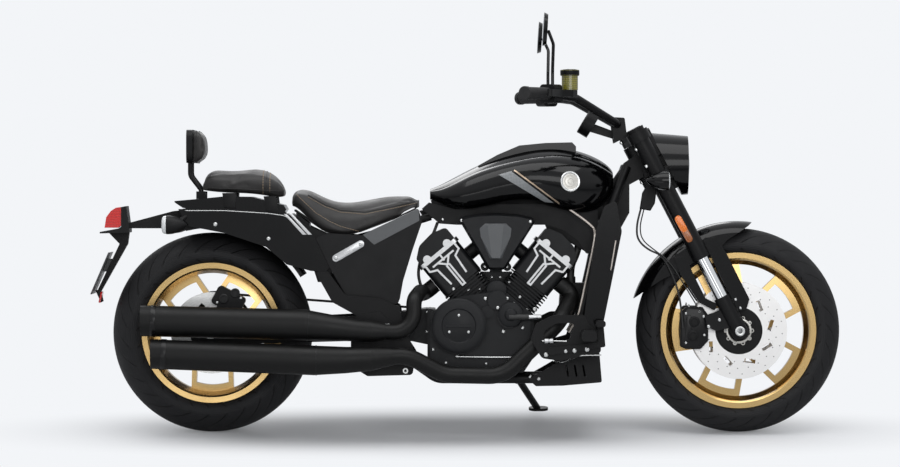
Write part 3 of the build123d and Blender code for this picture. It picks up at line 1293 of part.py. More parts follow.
BAR_R = 13.0
GRIP_R = 19.0
BAR_X, BAR_Z = 444.0, 968.0
BAR = [(BAR_X, -78, BAR_Z), (312, -205, 1046), (236, -312, 1058), (155, -430, 1058)]
GRIP_LEN = 112.0
HOUSING_HALF = 29.0
PERCH_T = 22.0
LEVER = [(232, 306), (250, 280), (276, 264), (306, 270), (314, 292), (300, 322), (266, 352),
         (232, 450), (216, 452), (244, 346), (252, 330), (236, 318)]
g0, g1 = Vector(*BAR[2]), Vector(*BAR[3])
grip_dir = (g1 - g0).normalized()
with BuildPart() as handlebar:
    pts = [(x, -y, z) for x, y, z in reversed(BAR)] + BAR
    with BuildLine():
        path = FilletPolyline(*pts, radius=[90, 70, 40, 40, 70, 90])
    with BuildSketch(Plane(origin=path @ 0, z_dir=path % 0)):
        Circle(BAR_R)
    sweep(path=path)
    for y in (-46, 46):
        with BuildSketch(side(y + 14)):
            add(soft_face([(BAR_X - 20, BAR_Z + 22), (BAR_X + 24, BAR_Z + 20), (478, 908),
                           (438, 888)], 6))
        extrude(amount=28)
    with BuildSketch(across_fork(0, 0, CLAMP_TOP_S + CLAMP_T / 2 + SEAT_GAP - 200)):
        Rectangle(400, 400)
    extrude(amount=200, mode=Mode.SUBTRACT)
    for s in (-1, 1):
        d = Vector(grip_dir.X, grip_dir.Y * -s, grip_dir.Z)
        e = Vector(g1.X, g1.Y * -s, g1.Z)
        # switch housing, then the lever and its perch ahead of the grip
        with BuildSketch(Plane(origin=e - d * 158, z_dir=d, x_dir=(d.Y * -1, d.X, 0))):
            RectangleRounded(54, 2 * HOUSING_HALF, 12)
        extrude(amount=45)
        with BuildSketch(Plane.XY.offset(BAR[3][2] - 10)):
            add(soft_face([(x, s * y) for x, y in LEVER], 5))
        extrude(amount=PERCH_T)
keep("handlebar", handlebar.part)

with BuildPart() as grips:
    for s in (-1, 1):
        d = Vector(grip_dir.X, grip_dir.Y * -s, grip_dir.Z)
        e = Vector(g1.X, g1.Y * -s, g1.Z)
        with BuildSketch(Plane(origin=e - d * GRIP_LEN, z_dir=d)):
            Circle(GRIP_R)
            Circle(BAR_R + SEAT_GAP, mode=Mode.SUBTRACT)
        extrude(amount=GRIP_LEN)
        with BuildSketch(Plane(origin=e + d * SEAT_GAP, z_dir=d)):
            Circle(GRIP_R + 2)
        extrude(amount=14)
keep("grips", grips.part)

with BuildPart() as brake_reservoir:
    with BuildSketch(Plane.XY.offset(BAR[3][2] - 10 + PERCH_T + SEAT_GAP)):
        with Locations((290, -286)):
            Circle(25)
    extrude(amount=50)
    with BuildSketch(Plane.XY.offset(1115)):
        with Locations((290, -286)):
            Circle(29)
    extrude(amount=17)
keep("brake_reservoir", brake_reservoir.part)

MIRROR_R = 52.0
with BuildPart() as mirrors:
    for s in (-1, 1):
        with BuildLine():
            path = FilletPolyline((236, s * 322, BAR[3][2] + HOUSING_HALF + SEAT_GAP),
                                  (236, s * 322, 1130), (238, s * 350, 1210),
                                  (222, s * 392, 1248), radius=[60, 24])
        with BuildSketch(Plane(origin=path @ 0, z_dir=path % 0)):
            Circle(5)
        sweep(path=path)
        with BuildSketch(Plane(origin=(218, s * 410, 1253), x_dir=(0, 1, 0), z_dir=(-1, 0, 0.06))):
            Circle(MIRROR_R - 5)
        extrude(amount=12, taper=-22)
keep("mirrors", mirrors.part)

GAUGE_R = 43.0
with BuildPart() as gauge:
    with BuildSketch(Plane(origin=(372, 0, 962), z_dir=(-0.853, 0, 0.52))):
        Circle(GAUGE_R)
    extrude(amount=34)
    # bracket back to the top clamp, between the risers
    with BuildSketch(side(16)):
        add(sharp_face([(362, 944), (376, 968), (440, 944), (486, 938), (486, 910), (440, 920)]))
    extrude(amount=32)
    with BuildSketch(across_fork(0, 0, CLAMP_TOP_S + CLAMP_T / 2 + SEAT_GAP - 100)):
        Rectangle(400, 400)
    extrude(amount=100, mode=Mode.SUBTRACT)
keep("gauge", gauge.part)

with BuildPart() as front_indicators:
    for s in (-1, 1):
        c = (600, s * 190, 790)
        with BuildSketch(Plane(origin=c, x_dir=(1, 0, 0), z_dir=(0, -1, 0))):
            with BuildLine():
                Line((0, 0), (0, LAMP_R))
                ThreePointArc((0, LAMP_R), (-40, LAMP_R * 0.8), (-72, 0))
                Line((-72, 0), (0, 0))
            make_face()
        revolve(axis=Axis(c, (1, 0, 0)))
        with BuildSketch(side(s * (FORK_HALF + FORK_OUTER_R + CLAMP_GROW[0] + SEAT_GAP))):
            with Locations((578, 790)):
                Circle(8)
        extrude(amount=-s * 30)
keep("front_indicators", front_indicators.part)

# ------------------------------------------------------------------ lean and export
leaned = {name: Rot(-LEAN, 0, 0) * piece for name, piece in pieces.items()}
low = [min(getattr(p.bounding_box().min, k) for p in leaned.values()) for k in "XYZ"]
high = [max(getattr(p.bounding_box().max, k) for p in leaned.values()) for k in "XYZ"]
shift = Pos(-(low[0] + high[0]) / 2, -(low[1] + high[1]) / 2, -low[2])
print("box", [round(v, 2) for v in low], [round(v, 2) for v in high])


def in_row(point, direction=False):
    """A drawn point or direction as it stands in the finished frame."""
    x, y, z = point
    y, z = y * LEAN_C + z * LEAN_S, -y * LEAN_S + z * LEAN_C
    if direction:
        return tuple(round(v, 9) for v in (x, y, z))
    p = shift.position
    return tuple(round(v / 1000, 7) for v in (x + p.X, y + p.Y, z + p.Z))


print("front_axle", in_row((FRONT_X, 0, FRONT_Z)), "rear_axle", in_row((REAR_X, 0, REAR_Z)))
print("lateral", in_row((0, 1, 0), True))
print("steer", in_row(fork_point(-FORK_OFFSET, 0, CLAMP_LOW_S)), in_row(FORK_UP, True))
print("stand", in_row(tuple(pivot)), in_row(tuple(hinge), True))
for name, piece in leaned.items():
    placed = shift * piece
    placed.label = name
    export_step(placed, "parts/" + name + ".step")
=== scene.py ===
"""Looks of a large V-twin cruiser motorcycle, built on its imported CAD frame."""

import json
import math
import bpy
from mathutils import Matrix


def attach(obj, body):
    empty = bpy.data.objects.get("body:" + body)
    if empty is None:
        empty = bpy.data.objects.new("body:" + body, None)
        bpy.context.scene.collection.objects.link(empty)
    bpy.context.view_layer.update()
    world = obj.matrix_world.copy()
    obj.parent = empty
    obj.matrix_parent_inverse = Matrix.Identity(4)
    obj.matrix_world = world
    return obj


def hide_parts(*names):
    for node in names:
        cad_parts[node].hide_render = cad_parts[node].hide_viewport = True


bl_info = {
    "name": "Cruiser motorcycle looks",
    "version": (1, 0, 0),
    "blender": (4, 5, 0),
    "location": "3D View > Sidebar > Cruiser",
    "description": "Finishes, cushions, trim and fasteners for a parked V-twin cruiser",
    "category": "Object",
}

import bmesh
import bpy
from mathutils import Matrix, Vector
from mathutils.bvhtree import BVHTree

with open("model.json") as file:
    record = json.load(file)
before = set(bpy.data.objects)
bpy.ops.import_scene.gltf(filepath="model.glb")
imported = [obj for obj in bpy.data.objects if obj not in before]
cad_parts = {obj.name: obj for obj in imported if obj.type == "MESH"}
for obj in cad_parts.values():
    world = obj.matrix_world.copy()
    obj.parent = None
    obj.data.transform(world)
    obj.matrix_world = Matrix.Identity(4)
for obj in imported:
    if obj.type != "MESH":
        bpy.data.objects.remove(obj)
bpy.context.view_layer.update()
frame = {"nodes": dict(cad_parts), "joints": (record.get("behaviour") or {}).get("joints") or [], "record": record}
NODES = frame["nodes"]

# The motorcycle is laid out upright in millimetres, x forward from half way between
# the axles, y to the rider's left and z up from the ground, and then leans on its stand.
LEAN = math.radians(-10.0)
FRONT_AXLE = Vector((825.0, 0.0, 321.018))
REAR_AXLE = Vector((-825.0, 0.0, 314.727))
AXLE_POS = {j["name"]: Vector(j["pos_m"]) for j in frame["joints"]}
TURN = Matrix.Rotation(LEAN, 4, "X")
SHIFT = AXLE_POS["front_wheel_spin"] - TURN @ (FRONT_AXLE * 0.001)
UPRIGHT = Matrix.Translation(SHIFT) @ TURN
TO_ROW = UPRIGHT @ Matrix.Scale(0.001, 4)
FROM_ROW = TO_ROW.inverted()
RAKE = math.radians(27.4)
FORK_UP = Vector((-math.sin(RAKE), 0.0, math.cos(RAKE)))
FORK_AHEAD = Vector((math.cos(RAKE), 0.0, math.sin(RAKE)))


# ---------------------------------------------------------------- materials
def linear(colour):
    """sRGB hex, such as "#1a2b3c", to a linear colour with alpha."""
    parts = [int(colour[i:i + 2], 16) / 255 for i in (1, 3, 5)]
    return [p / 12.92 if p <= 0.04045 else ((p + 0.055) / 1.055) ** 2.4 for p in parts] + [1.0]


def add_node(tree, kind, inputs=None, **settings):
    """Adds a shader node: settings are its own, inputs are values or sockets to link from."""
    node = tree.nodes.new("ShaderNode" + kind)
    for key, value in settings.items():
        setattr(node, key, value)
    for key, value in (inputs or {}).items():
        if isinstance(value, bpy.types.NodeSocket):
            tree.links.new(value, node.inputs[key])
        else:
            node.inputs[key].default_value = value
    return node


def new_finish(name, colour, roughness, metallic=0.0, **shader):
    """A material with its shader, and the piece's own coordinates in metres."""
    material = bpy.data.materials.new(name)
    material.use_nodes = True
    tree = material.node_tree
    bsdf = tree.nodes["Principled BSDF"]
    bsdf.inputs["Base Color"].default_value = linear(colour)
    bsdf.inputs["Roughness"].default_value = roughness
    bsdf.inputs["Metallic"].default_value = metallic
    for key, value in shader.items():
        bsdf.inputs[key.replace("_", " ")].default_value = value
    material.diffuse_color = linear(colour)
    place = add_node(tree, "TexCoord")
    return material, tree, bsdf, place.outputs["Object"]


def about(tree, coords, centre=SHIFT, turn=(LEAN, 0.0, 0.0)):
    """Coordinates measured from a centre in the motorcycle's own upright frame, in metres."""
    move = add_node(tree, "Mapping", {"Vector": coords, "Location": centre, "Rotation": turn},
                    vector_type="TEXTURE")
    return move.outputs["Vector"]


def vary(tree, bsdf, field, colours, rough=None):
    """Lets the colour, and the roughness if a range is given, follow a field that is 0 to 1."""
    tint = add_node(tree, "Mix", {"Factor": field, "A": linear(colours[0]), "B": linear(colours[1])},
                    data_type="RGBA")
    tree.links.new(tint.outputs["Result"], bsdf.inputs["Base Color"])
    if rough:
        gloss = add_node(tree, "MapRange", {"Value": field, "From Min": 0.3, "From Max": 0.7,
                                            "To Min": rough[0], "To Max": rough[1]})
        tree.links.new(gloss.outputs["Result"], bsdf.inputs["Roughness"])
    return tint


def mottle(tree, bsdf, coords, size_mm, colours, rough):
    """Cloudy variation of colour and roughness, patches about size_mm across."""
    noise = add_node(tree, "TexNoise", {"Vector": coords, "Scale": 1000.0 / size_mm, "Detail": 4.0,
                                        "Roughness": 0.6})
    return vary(tree, bsdf, noise.outputs["Fac"], colours, rough)


def relief(tree, bsdf, height, depth_mm, strength=1.0, under=None):
    """Bumps the surface by a height field that is 0 to 1, depth_mm deep."""
    bump = add_node(tree, "Bump", {"Height": height, "Distance": depth_mm / 1000.0, "Strength": strength})
    if under is not None:
        tree.links.new(under.outputs["Normal"], bump.inputs["Normal"])
    tree.links.new(bump.outputs["Normal"], bsdf.inputs["Normal"])
    return bump


def tread_rubber(name, centre, grooves, slant, radius, half):
    """Moulded tyre rubber: dull black, blued by wax, with cut grooves and a ribbed sidewall."""
    material, tree, bsdf, coords = new_finish(name, "#1b1b1d", 0.72, Specular_IOR_Level=0.25)
    local = about(tree, coords, centre)
    rubber = mottle(tree, bsdf, local, 45.0, ("#161617", "#212123"), (0.58, 0.76))
    axes = add_node(tree, "SeparateXYZ", {"Vector": local})
    angle = add_node(tree, "Math", {0: axes.outputs["X"], 1: axes.outputs["Z"]}, operation="ARCTAN2")
    across = add_node(tree, "Math", {0: axes.outputs["Y"]}, operation="ABSOLUTE")
    lean = add_node(tree, "Math", {0: across.outputs[0], 1: slant}, operation="MULTIPLY")
    turns = add_node(tree, "Math", {0: angle.outputs[0], 1: grooves / (2 * math.pi)}, operation="MULTIPLY")
    where = add_node(tree, "Math", {0: turns.outputs[0], 1: lean.outputs[0]}, operation="ADD")
    cell = add_node(tree, "Math", {0: where.outputs[0]}, operation="FRACT")
    groove = add_node(tree, "MapRange", {"Value": cell.outputs[0], "From Min": 0.06, "From Max": 0.12,
                                         "To Min": 0.0, "To Max": 1.0})
    # grooves run from the crown to the shoulder, and a fine rib circles the sidewall
    shoulder = add_node(tree, "MapRange", {"Value": across.outputs[0], "From Min": half * 0.93,
                                           "From Max": half * 0.985, "To Min": 0.0, "To Max": 1.0})
    crown = add_node(tree, "MapRange", {"Value": across.outputs[0], "From Min": half * 0.12,
                                        "From Max": half * 0.16, "To Min": 1.0, "To Max": 0.0})
    plain = add_node(tree, "Math", {0: shoulder.outputs[0], 1: crown.outputs[0]}, operation="MAXIMUM")
    height = add_node(tree, "Math", {0: groove.outputs[0], 1: plain.outputs[0]}, operation="MAXIMUM")
    # the grooves are painted darker than the tread face: painted shade down in the grooves
    shade = add_node(tree, "Mix", {"Factor": height.outputs[0], "A": linear("#0b0b0c"),
                                   "B": rubber.outputs["Result"]}, data_type="RGBA")
    tree.links.new(shade.outputs["Result"], bsdf.inputs["Base Color"])
    square = add_node(tree, "VectorMath", {0: local, 1: (1.0, 0.0, 1.0)}, operation="MULTIPLY")
    reach = add_node(tree, "VectorMath", {0: square.outputs[0]}, operation="LENGTH")
    ribs = add_node(tree, "Math", {0: reach.outputs["Value"], 1: 2 * math.pi / 0.0055}, operation="MULTIPLY")
    wave = add_node(tree, "Math", {0: ribs.outputs[0]}, operation="SINE")
    low = add_node(tree, "MapRange", {"Value": reach.outputs["Value"], "From Min": radius * 0.86,
                                      "From Max": radius * 0.88, "To Min": 0.05, "To Max": 0.0})
    wall = add_node(tree, "Math", {0: wave.outputs[0], 1: low.outputs[0], 2: height.outputs[0]},
                    operation="MULTIPLY_ADD")
    pores = add_node(tree, "TexNoise", {"Vector": local, "Scale": 1000.0 / 1.4, "Detail": 2.0})
    first = relief(tree, bsdf, pores.outputs["Fac"], 0.12, 0.6)
    relief(tree, bsdf, wall.outputs[0], 5.0, 1.0, first)
    return material


def turned_steel(name, centre, colours, rough):
    """Metal ground in a lathe: fine rings round the axle that stretch its highlights."""
    material, tree, bsdf, coords = new_finish(name, colours[0], rough[0], 1.0)
    local = about(tree, coords, centre)
    flat = add_node(tree, "VectorMath", {0: local, 1: (1.0, 0.0, 1.0)}, operation="MULTIPLY")
    reach = add_node(tree, "VectorMath", {0: flat.outputs[0]}, operation="LENGTH")
    # rings 0.9 mm apart, coarser than the real ones so that they show
    rings = add_node(tree, "TexNoise", {"W": reach.outputs["Value"], "Scale": 1100.0, "Detail": 2.0},
                     noise_dimensions="1D")
    vary(tree, bsdf, rings.outputs["Fac"], colours, rough)
    relief(tree, bsdf, rings.outputs["Fac"], 0.03)
    return material


def coated(name, colours, rough, size_mm=60.0, grain_mm=0.0, depth_mm=0.0, metallic=0.0, **shader):
    """Paint, moulding or coating with slight unevenness of tone and gloss, and an optional grain."""
    material, tree, bsdf, coords = new_finish(name, colours[0], rough[0], metallic, **shader)
    mottle(tree, bsdf, coords, size_mm, colours, rough)
    if grain_mm:
        grain = add_node(tree, "TexNoise", {"Vector": coords, "Scale": 1000.0 / grain_mm, "Detail": 2.0})
        relief(tree, bsdf, grain.outputs["Fac"], depth_mm, 0.8)
    return material


def brushed(name, colours, rough):
    """Metal brushed one way: streaks 0.8 mm apart and thirty times as long, in tone and gloss."""
    material, tree, bsdf, coords = new_finish(name, colours[0], rough[0], 1.0)
    local = about(tree, coords)
    stretch = add_node(tree, "Mapping", {"Vector": local, "Scale": (1.0, 30.0, 30.0)})
    streaks = add_node(tree, "TexNoise", {"Vector": stretch.outputs[0],
                                          "Scale": 1000.0 / 0.8 / 30, "Detail": 3.0})
    vary(tree, bsdf, streaks.outputs["Fac"], colours, rough)
    relief(tree, bsdf, streaks.outputs["Fac"], 0.02)
    return material


def leather(name):
    """Vinyl seat cover: soft black with pebbles 2 mm apart, and soft patches of tone and gloss."""
    material, tree, bsdf, coords = new_finish(name, "#171616", 0.5, Specular_IOR_Level=0.4, Sheen_Weight=0.15,
                                              Sheen_Roughness=0.4)
    mottle(tree, bsdf, coords, 70.0, ("#131212", "#211f1e"), (0.42, 0.62))
    cells = add_node(tree, "TexVoronoi", {"Vector": coords, "Scale": 420.0, "Randomness": 0.9})
    first = relief(tree, bsdf, cells.outputs["Distance"], 0.35, 0.7)
    folds = add_node(tree, "TexNoise", {"Vector": coords, "Scale": 1000.0 / 38.0, "Detail": 2.0})
    relief(tree, bsdf, folds.outputs["Fac"], 1.2, 0.35, first)
    return material


def lamp_plastic(name, colours, rough, pitch_mm):
    """Moulded lens plastic with rows of small optic ribs under a polished face."""
    material, tree, bsdf, coords = new_finish(name, colours[0], rough, Coat_Weight=0.6, Coat_Roughness=0.03)
    local = about(tree, coords)
    axes = add_node(tree, "SeparateXYZ", {"Vector": local})
    wave = add_node(tree, "Math", {0: axes.outputs["Z"], 1: 2000.0 * math.pi / pitch_mm},
                    operation="MULTIPLY")
    ridge = add_node(tree, "Math", {0: wave.outputs[0]}, operation="SINE")
    tone = add_node(tree, "MapRange", {"Value": ridge.outputs[0], "From Min": -1.0, "From Max": 1.0})
    vary(tree, bsdf, tone.outputs[0], colours)
    relief(tree, bsdf, tone.outputs[0], 0.3, 0.5)
    return material


def carbon_weave(name, colours):
    """Printed band with a 7 mm twill: two tones of grey, turned 40 degrees."""
    material, tree, bsdf, coords = new_finish(name, colours[0], 0.4, Coat_Weight=0.3)
    local = about(tree, coords, turn=(LEAN, math.radians(40.0), 0.0))
    check = add_node(tree, "TexChecker", {"Vector": local, "Scale": 1000.0 / 7.0,
                                          "Color1": linear(colours[0]), "Color2": linear(colours[1])})
    soft = add_node(tree, "TexNoise", {"Vector": local, "Scale": 60.0, "Detail": 2.0})
    blend = add_node(tree, "Mix", {"Factor": soft.outputs["Fac"], "A": check.outputs["Color"],
                                   "B": linear(colours[0])}, data_type="RGBA")
    tree.links.new(blend.outputs["Result"], bsdf.inputs["Base Color"])
    relief(tree, bsdf, check.outputs["Fac"], 0.1, 0.3)
    return material


FINISH = {}


def make_finishes(tones):
    """Every finish on the motorcycle, by its plain name."""
    f = FINISH
    f["front tyre"] = tread_rubber("Moulded tyre rubber, front", AXLE_POS["front_wheel_spin"], 30,
                                   46.0, 0.320, 0.065)
    f["rear tyre"] = tread_rubber("Moulded tyre rubber, rear", AXLE_POS["rear_wheel_spin"], 28,
                                  30.0, 0.313, 0.100)
    # cast aluminium, anodised gold: a warm satin metal with even, slightly soft highlights
    f["gold"] = coated("Gold anodised cast aluminium", (tones.wheel, "#c0a06a"), (0.22, 0.28), 90.0,
                       1.2, 0.004, 1.0)
    f["disc"] = turned_steel("Ground stainless steel, front discs", AXLE_POS["front_wheel_spin"],
                             ("#d2d1d0", "#e3e2e1"), (0.3, 0.4))
    f["rear disc"] = turned_steel("Ground stainless steel, rear disc", AXLE_POS["rear_wheel_spin"],
                                  ("#c4c4c3", "#dededc"), (0.24, 0.34))
    # powder coat: even satin black with a very fine orange peel
    f["satin"] = coated("Satin black powder coat", (tones.satin, "#101011"), (0.36, 0.48), 80.0, 3.0, 0.05,
                        Specular_IOR_Level=0.17)
    # baked enamel under lacquer: deep black with sharp reflections
    f["gloss"] = coated("Gloss black enamel", (tones.gloss, "#050506"), (0.14, 0.18), 120.0, 18.0, 0.02,
                        Coat_Weight=0.22, Coat_Roughness=0.03, Specular_IOR_Level=0.16)
    # moulded polypropylene: charcoal with a spark-eroded texture
    f["plastic"] = coated("Moulded black polypropylene", (tones.plastic, "#0e0e0f"), (0.46, 0.58), 60.0, 1.0,
                          0.1, Specular_IOR_Level=0.2)
    # high-temperature ceramic paint: flat, slightly dusty black
    f["exhaust"] = coated("Flat black ceramic coat", (tones.exhaust, "#111111"), (0.38, 0.5), 50.0, 2.0, 0.04,
                          Specular_IOR_Level=0.2)
    f["heat shield"] = coated("Semi-gloss black heat shield", ("#0c0c0d", "#131314"), (0.26, 0.34), 60.0,
                              Specular_IOR_Level=0.25)
    f["alloy"] = brushed("Machined aluminium", ("#a9aaab", "#c6c7c8"), (0.26, 0.4))
    f["zinc"] = coated("Bright zinc-plated steel", ("#b4b5b5", "#d2d3d2"), (0.2, 0.32), 12.0, metallic=1.0)
    f["chrome"] = coated("Hard chrome plate", ("#c9cbcd", "#d8dadb"), (0.05, 0.09), 60.0, metallic=1.0)
    # crackle-finish engine paint: graphite with a fine wrinkled skin
    f["engine"] = coated("Graphite engine enamel", (tones.engine, "#161719"), (0.4, 0.52), 30.0, 1.6, 0.12,
                         Specular_IOR_Level=0.22)
    f["grip"] = coated("Moulded grip rubber", ("#101011", "#19191a"), (0.7, 0.85), 20.0, 2.4, 0.5)
    f["leather"] = leather("Pebbled seat vinyl")
    f["belt"] = coated("Toothed belt rubber", ("#161616", "#1f1f1f"), (0.6, 0.75), 20.0, 1.5, 0.2)
    f["clear lens"] = lamp_plastic("Clear polycarbonate lamp lens", ("#8f979c", "#dfe6ea"), 0.08, 5.0)
    f["red lens"] = lamp_plastic("Red acrylic tail lens", ("#b3110f", "#e0231c"), 0.14, 5.0)
    f["pale lens"] = lamp_plastic("Frosted indicator lens", ("#d7dadb", "#f1f3f3"), 0.2, 3.0)
    f["amber"] = lamp_plastic("Amber acrylic reflector", ("#dc5f00", "#f98a00"), 0.3, 3.0)
    # a darker copy of the amber for the fork reflectors' lower halves: painted shade
    f["dark amber"] = lamp_plastic("Amber acrylic reflector, shaded", ("#874712", "#a85c16"), 0.18, 3.0)
    f["fluid"] = lamp_plastic("Olive tinted reservoir", ("#5d5a1c", "#8a8430"), 0.2, 6.0)
    f["plate"] = coated("Blank painted plate", ("#2c2d2f", "#37383a"), (0.35, 0.45), 40.0)
    f["band"] = carbon_weave("Grey twill tank band", ("#7b7e80", "#8d9092"))
    f["champagne"] = coated("Champagne pin-line lacquer", ("#a8937c", "#c0ad98"), (0.25, 0.32),
                            30.0, metallic=0.6)
    # cast zinc badge, nickel plated and lacquered: a pale warm silver
    f["badge"] = coated("Satin nickel badge", ("#b4b2ad", "#cbc9c3"), (0.28, 0.38), 12.0, metallic=0.9)
    # nickel-coloured lacquer on the shroud edges: nearly white with a warm cast
    f["pearl line"] = coated("Pearl edge lacquer", ("#c6bbb1", "#dcd3cb"), (0.25, 0.35), 30.0, metallic=0.3)
    f["thread"] = coated("Tan bonded seat thread", ("#8d7960", "#a3907a"), (0.7, 0.8), 6.0)
    f["grey panel"] = coated("Grey moulded insert", ("#4a4c4e", "#585a5c"), (0.45, 0.55), 40.0, 1.0, 0.06)
    f["core"] = radiator_core("Black radiator core")
    f["hose"] = coated("Braid-covered rubber hose", ("#131313", "#1c1c1c"), (0.5, 0.62), 10.0, 1.8, 0.3)
    f["mirror"] = coated("Mirror glass", ("#aab0b4", "#b6bcc0"), (0.02, 0.04), 80.0, metallic=1.0)
    f["dark glass"] = coated("Smoked instrument glass", ("#060708", "#0b0c0e"), (0.05, 0.08), 60.0,
                             Coat_Weight=0.8)


def radiator_core(name):
    """Folded fin stack between flat tubes: dark stripes every 9 mm with a zigzag between."""
    material, tree, bsdf, coords = new_finish(name, "#0c0c0d", 0.55, 0.2)
    local = about(tree, coords)
    axes = add_node(tree, "SeparateXYZ", {"Vector": local})
    rows = add_node(tree, "Math", {0: axes.outputs["Z"], 1: 2000.0 * math.pi / 9.0}, operation="MULTIPLY")
    wave = add_node(tree, "Math", {0: rows.outputs[0]}, operation="SINE")
    fins = add_node(tree, "Math", {0: axes.outputs["Y"], 1: 2000.0 * math.pi / 3.0}, operation="MULTIPLY")
    comb = add_node(tree, "Math", {0: fins.outputs[0]}, operation="SINE")
    mesh = add_node(tree, "Math", {0: wave.outputs[0], 1: comb.outputs[0]}, operation="MAXIMUM")
    tone = add_node(tree, "MapRange", {"Value": mesh.outputs[0], "From Min": -1.0, "From Max": 1.0})
    vary(tree, bsdf, tone.outputs[0], ("#050505", "#232324"))
    relief(tree, bsdf, tone.outputs[0], 1.5, 0.8)
    return material


# the CAD nodes that take each finish
NODE_FINISH = {node: finish for finish, nodes in {
    "front tyre": "front_tyre",
    "rear tyre": "rear_tyre",
    "gold": "front_rim rear_rim",
    "disc": "front_discs",
    "rear disc": "rear_disc",
    "satin": "disc_carriers rear_pulley swingarm rear_caliper frame_spine frame_cradle pivot_plates "
             "subframe backrest_stay belly_fairing foot_controls side_stand fork_outers fork_feet "
             "front_calipers handlebar gauge",
    "belt": "drive_belt",
    "zinc": "through_bolts front_axle",
    "engine": "crankcase engine_covers cylinders cylinder_heads air_cleaner",
    "alloy": "head_bands",
    "plastic": "rear_fender tail_arm rear_indicators air_box side_covers",
    "gloss": "tail_panels tail_cowl fuel_tank tank_console radiator_shrouds front_fender headlight_shell "
             "mirrors front_indicators",
    "red lens": "tail_lamp",
    "plate": "number_plate",
    "leather": "rider_seat passenger_seat backrest_pad",
    "core": "radiator",
    "exhaust": "exhaust_upper exhaust_lower",
    "chrome": "fork_tubes",
    "clear lens": "headlight_lens",
    "grip": "grips",
    "fluid": "brake_reservoir",
}.items() for node in nodes.split()}


# ---------------------------------------------------------------- mesh helpers
# the two sides of y, a distance outside the motorcycle, and the least that a cut face looks sideways
RIGHT, LEFT = -1.0, 1.0
FAR = 900.0
STEEP = 0.15
AHEAD, BACK, TO_RIGHT, UP = (1.0, 0.0, 0.0), (-1.0, 0.0, 0.0), (0.0, -1.0, 0.0), (0.0, 0.0, 1.0)


def dress(obj, finish):
    """Gives an object one finish in every material slot."""
    if not obj.data.materials:
        obj.data.materials.append(FINISH[finish])
    for slot in obj.material_slots:
        slot.material = FINISH[finish]


def claim(obj, finish, body):
    """Gives a new piece its finish and its body."""
    dress(obj, finish)
    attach(obj, body)


def facing(at, axis):
    """Matrix that puts a shape's own z along axis, at a place."""
    z = Vector(axis).normalized()
    x = Vector(UP).cross(z)
    if x.length < 1e-5:
        x = Vector(AHEAD)
    x.normalize()
    turn = Matrix((x, z.cross(x), z)).transposed().to_4x4()
    return Matrix.Translation(at) @ turn


def keep_piece(name, bm, finish, body="frame", smooth=True, bevel=0.0):
    """Makes an object of a mesh laid out upright in millimetres, leaning with the motorcycle."""
    bmesh.ops.transform(bm, matrix=TO_ROW, verts=bm.verts)
    mesh = bpy.data.meshes.new(name)
    bm.to_mesh(mesh)
    bm.free()
    for face in mesh.polygons:
        face.use_smooth = smooth
    obj = bpy.data.objects.new(name, mesh)
    bpy.context.scene.collection.objects.link(obj)
    if bevel:
        edge = obj.modifiers.new("Soft edges", "BEVEL")
        edge.width = bevel / 1000.0
        edge.segments = 2
        edge.limit_method = "ANGLE"
        edge.harden_normals = False
    if smooth:
        mesh.set_sharp_from_angle(angle=math.radians(40.0))
    claim(obj, finish, body)


def lathe(bm, profile, place, steps=24):
    """Turns a profile of (radius, height) points about the place's z."""
    verts = [bm.verts.new((r, 0.0, h)) for r, h in profile]
    edges = [bm.edges.new((a, b)) for a, b in zip(verts, verts[1:])]
    before = set(bm.verts) - set(verts)
    bmesh.ops.spin(bm, geom=verts + edges, cent=(0, 0, 0), axis=(0, 0, 1), angle=2 * math.pi, steps=steps,
                   use_merge=True, use_duplicate=False)
    made = [v for v in bm.verts if v not in before]
    bmesh.ops.remove_doubles(bm, verts=made, dist=1e-4)
    made = [v for v in bm.verts if v not in before]
    faces = {f for v in made for f in v.link_faces}
    bmesh.ops.recalc_face_normals(bm, faces=list(faces))
    bmesh.ops.transform(bm, matrix=place, verts=made)


def plate(bm, outline, thick, place, rim=0.0):
    """A flat plate from an outline in the place's own x and y, thick along its z."""
    verts = [bm.verts.new((x, y, 0.0)) for x, y in outline]
    face = bm.faces.new(verts)
    grown = bmesh.ops.extrude_face_region(bm, geom=[face])
    top = [g for g in grown["geom"] if isinstance(g, bmesh.types.BMVert)]
    bmesh.ops.translate(bm, verts=top, vec=(0.0, 0.0, thick))
    made = verts + top
    faces = {f for v in made for f in v.link_faces}
    bmesh.ops.recalc_face_normals(bm, faces=list(faces))
    if rim:
        edges = {e for v in top for e in v.link_edges if all(w in top for w in e.verts)}
        bevelled = bmesh.ops.bevel(bm, geom=list(edges), offset=rim, offset_type="OFFSET", segments=2,
                                   profile=0.5, affect="EDGES", material=-1)
        made = list({v for v in made + bevelled["verts"] if v.is_valid})
    bmesh.ops.transform(bm, matrix=place, verts=made)


def rounded(width, height, radius):
    """Outline of a rectangle with round corners, centred."""
    points = []
    for cx, cy, start in ((1, 1, 0), (-1, 1, 90), (-1, -1, 180), (1, -1, 270)):
        for i in range(6):
            a = math.radians(start + 90.0 * i / 5)
            points.append((cx * (width / 2 - radius) + radius * math.cos(a),
                           cy * (height / 2 - radius) + radius * math.sin(a)))
    return points


def mirrored(place, side):
    """A left side's place, put on either side."""
    return Vector((place[0], side * place[1], place[2]))


def bolt(bm, at, axis, r, high):
    """Button-head screw with a socket in its crown."""
    lathe(bm, [(0.0, high * 0.45), (r * 0.42, high * 0.45), (r * 0.5, high), (r * 0.78, high * 0.86),
               (r, high * 0.35), (r, -0.6)], facing(at, axis), 12)


def tree_of(nodes):
    """Search tree over the CAD nodes' surfaces, in upright millimetres."""
    verts, faces = [], []
    for name in nodes:
        mesh = NODES[name].data
        start = len(verts)
        verts += [FROM_ROW @ v.co for v in mesh.vertices]
        faces += [tuple(start + i for i in p.vertices) for p in mesh.polygons]
    return BVHTree.FromPolygons(verts, faces)


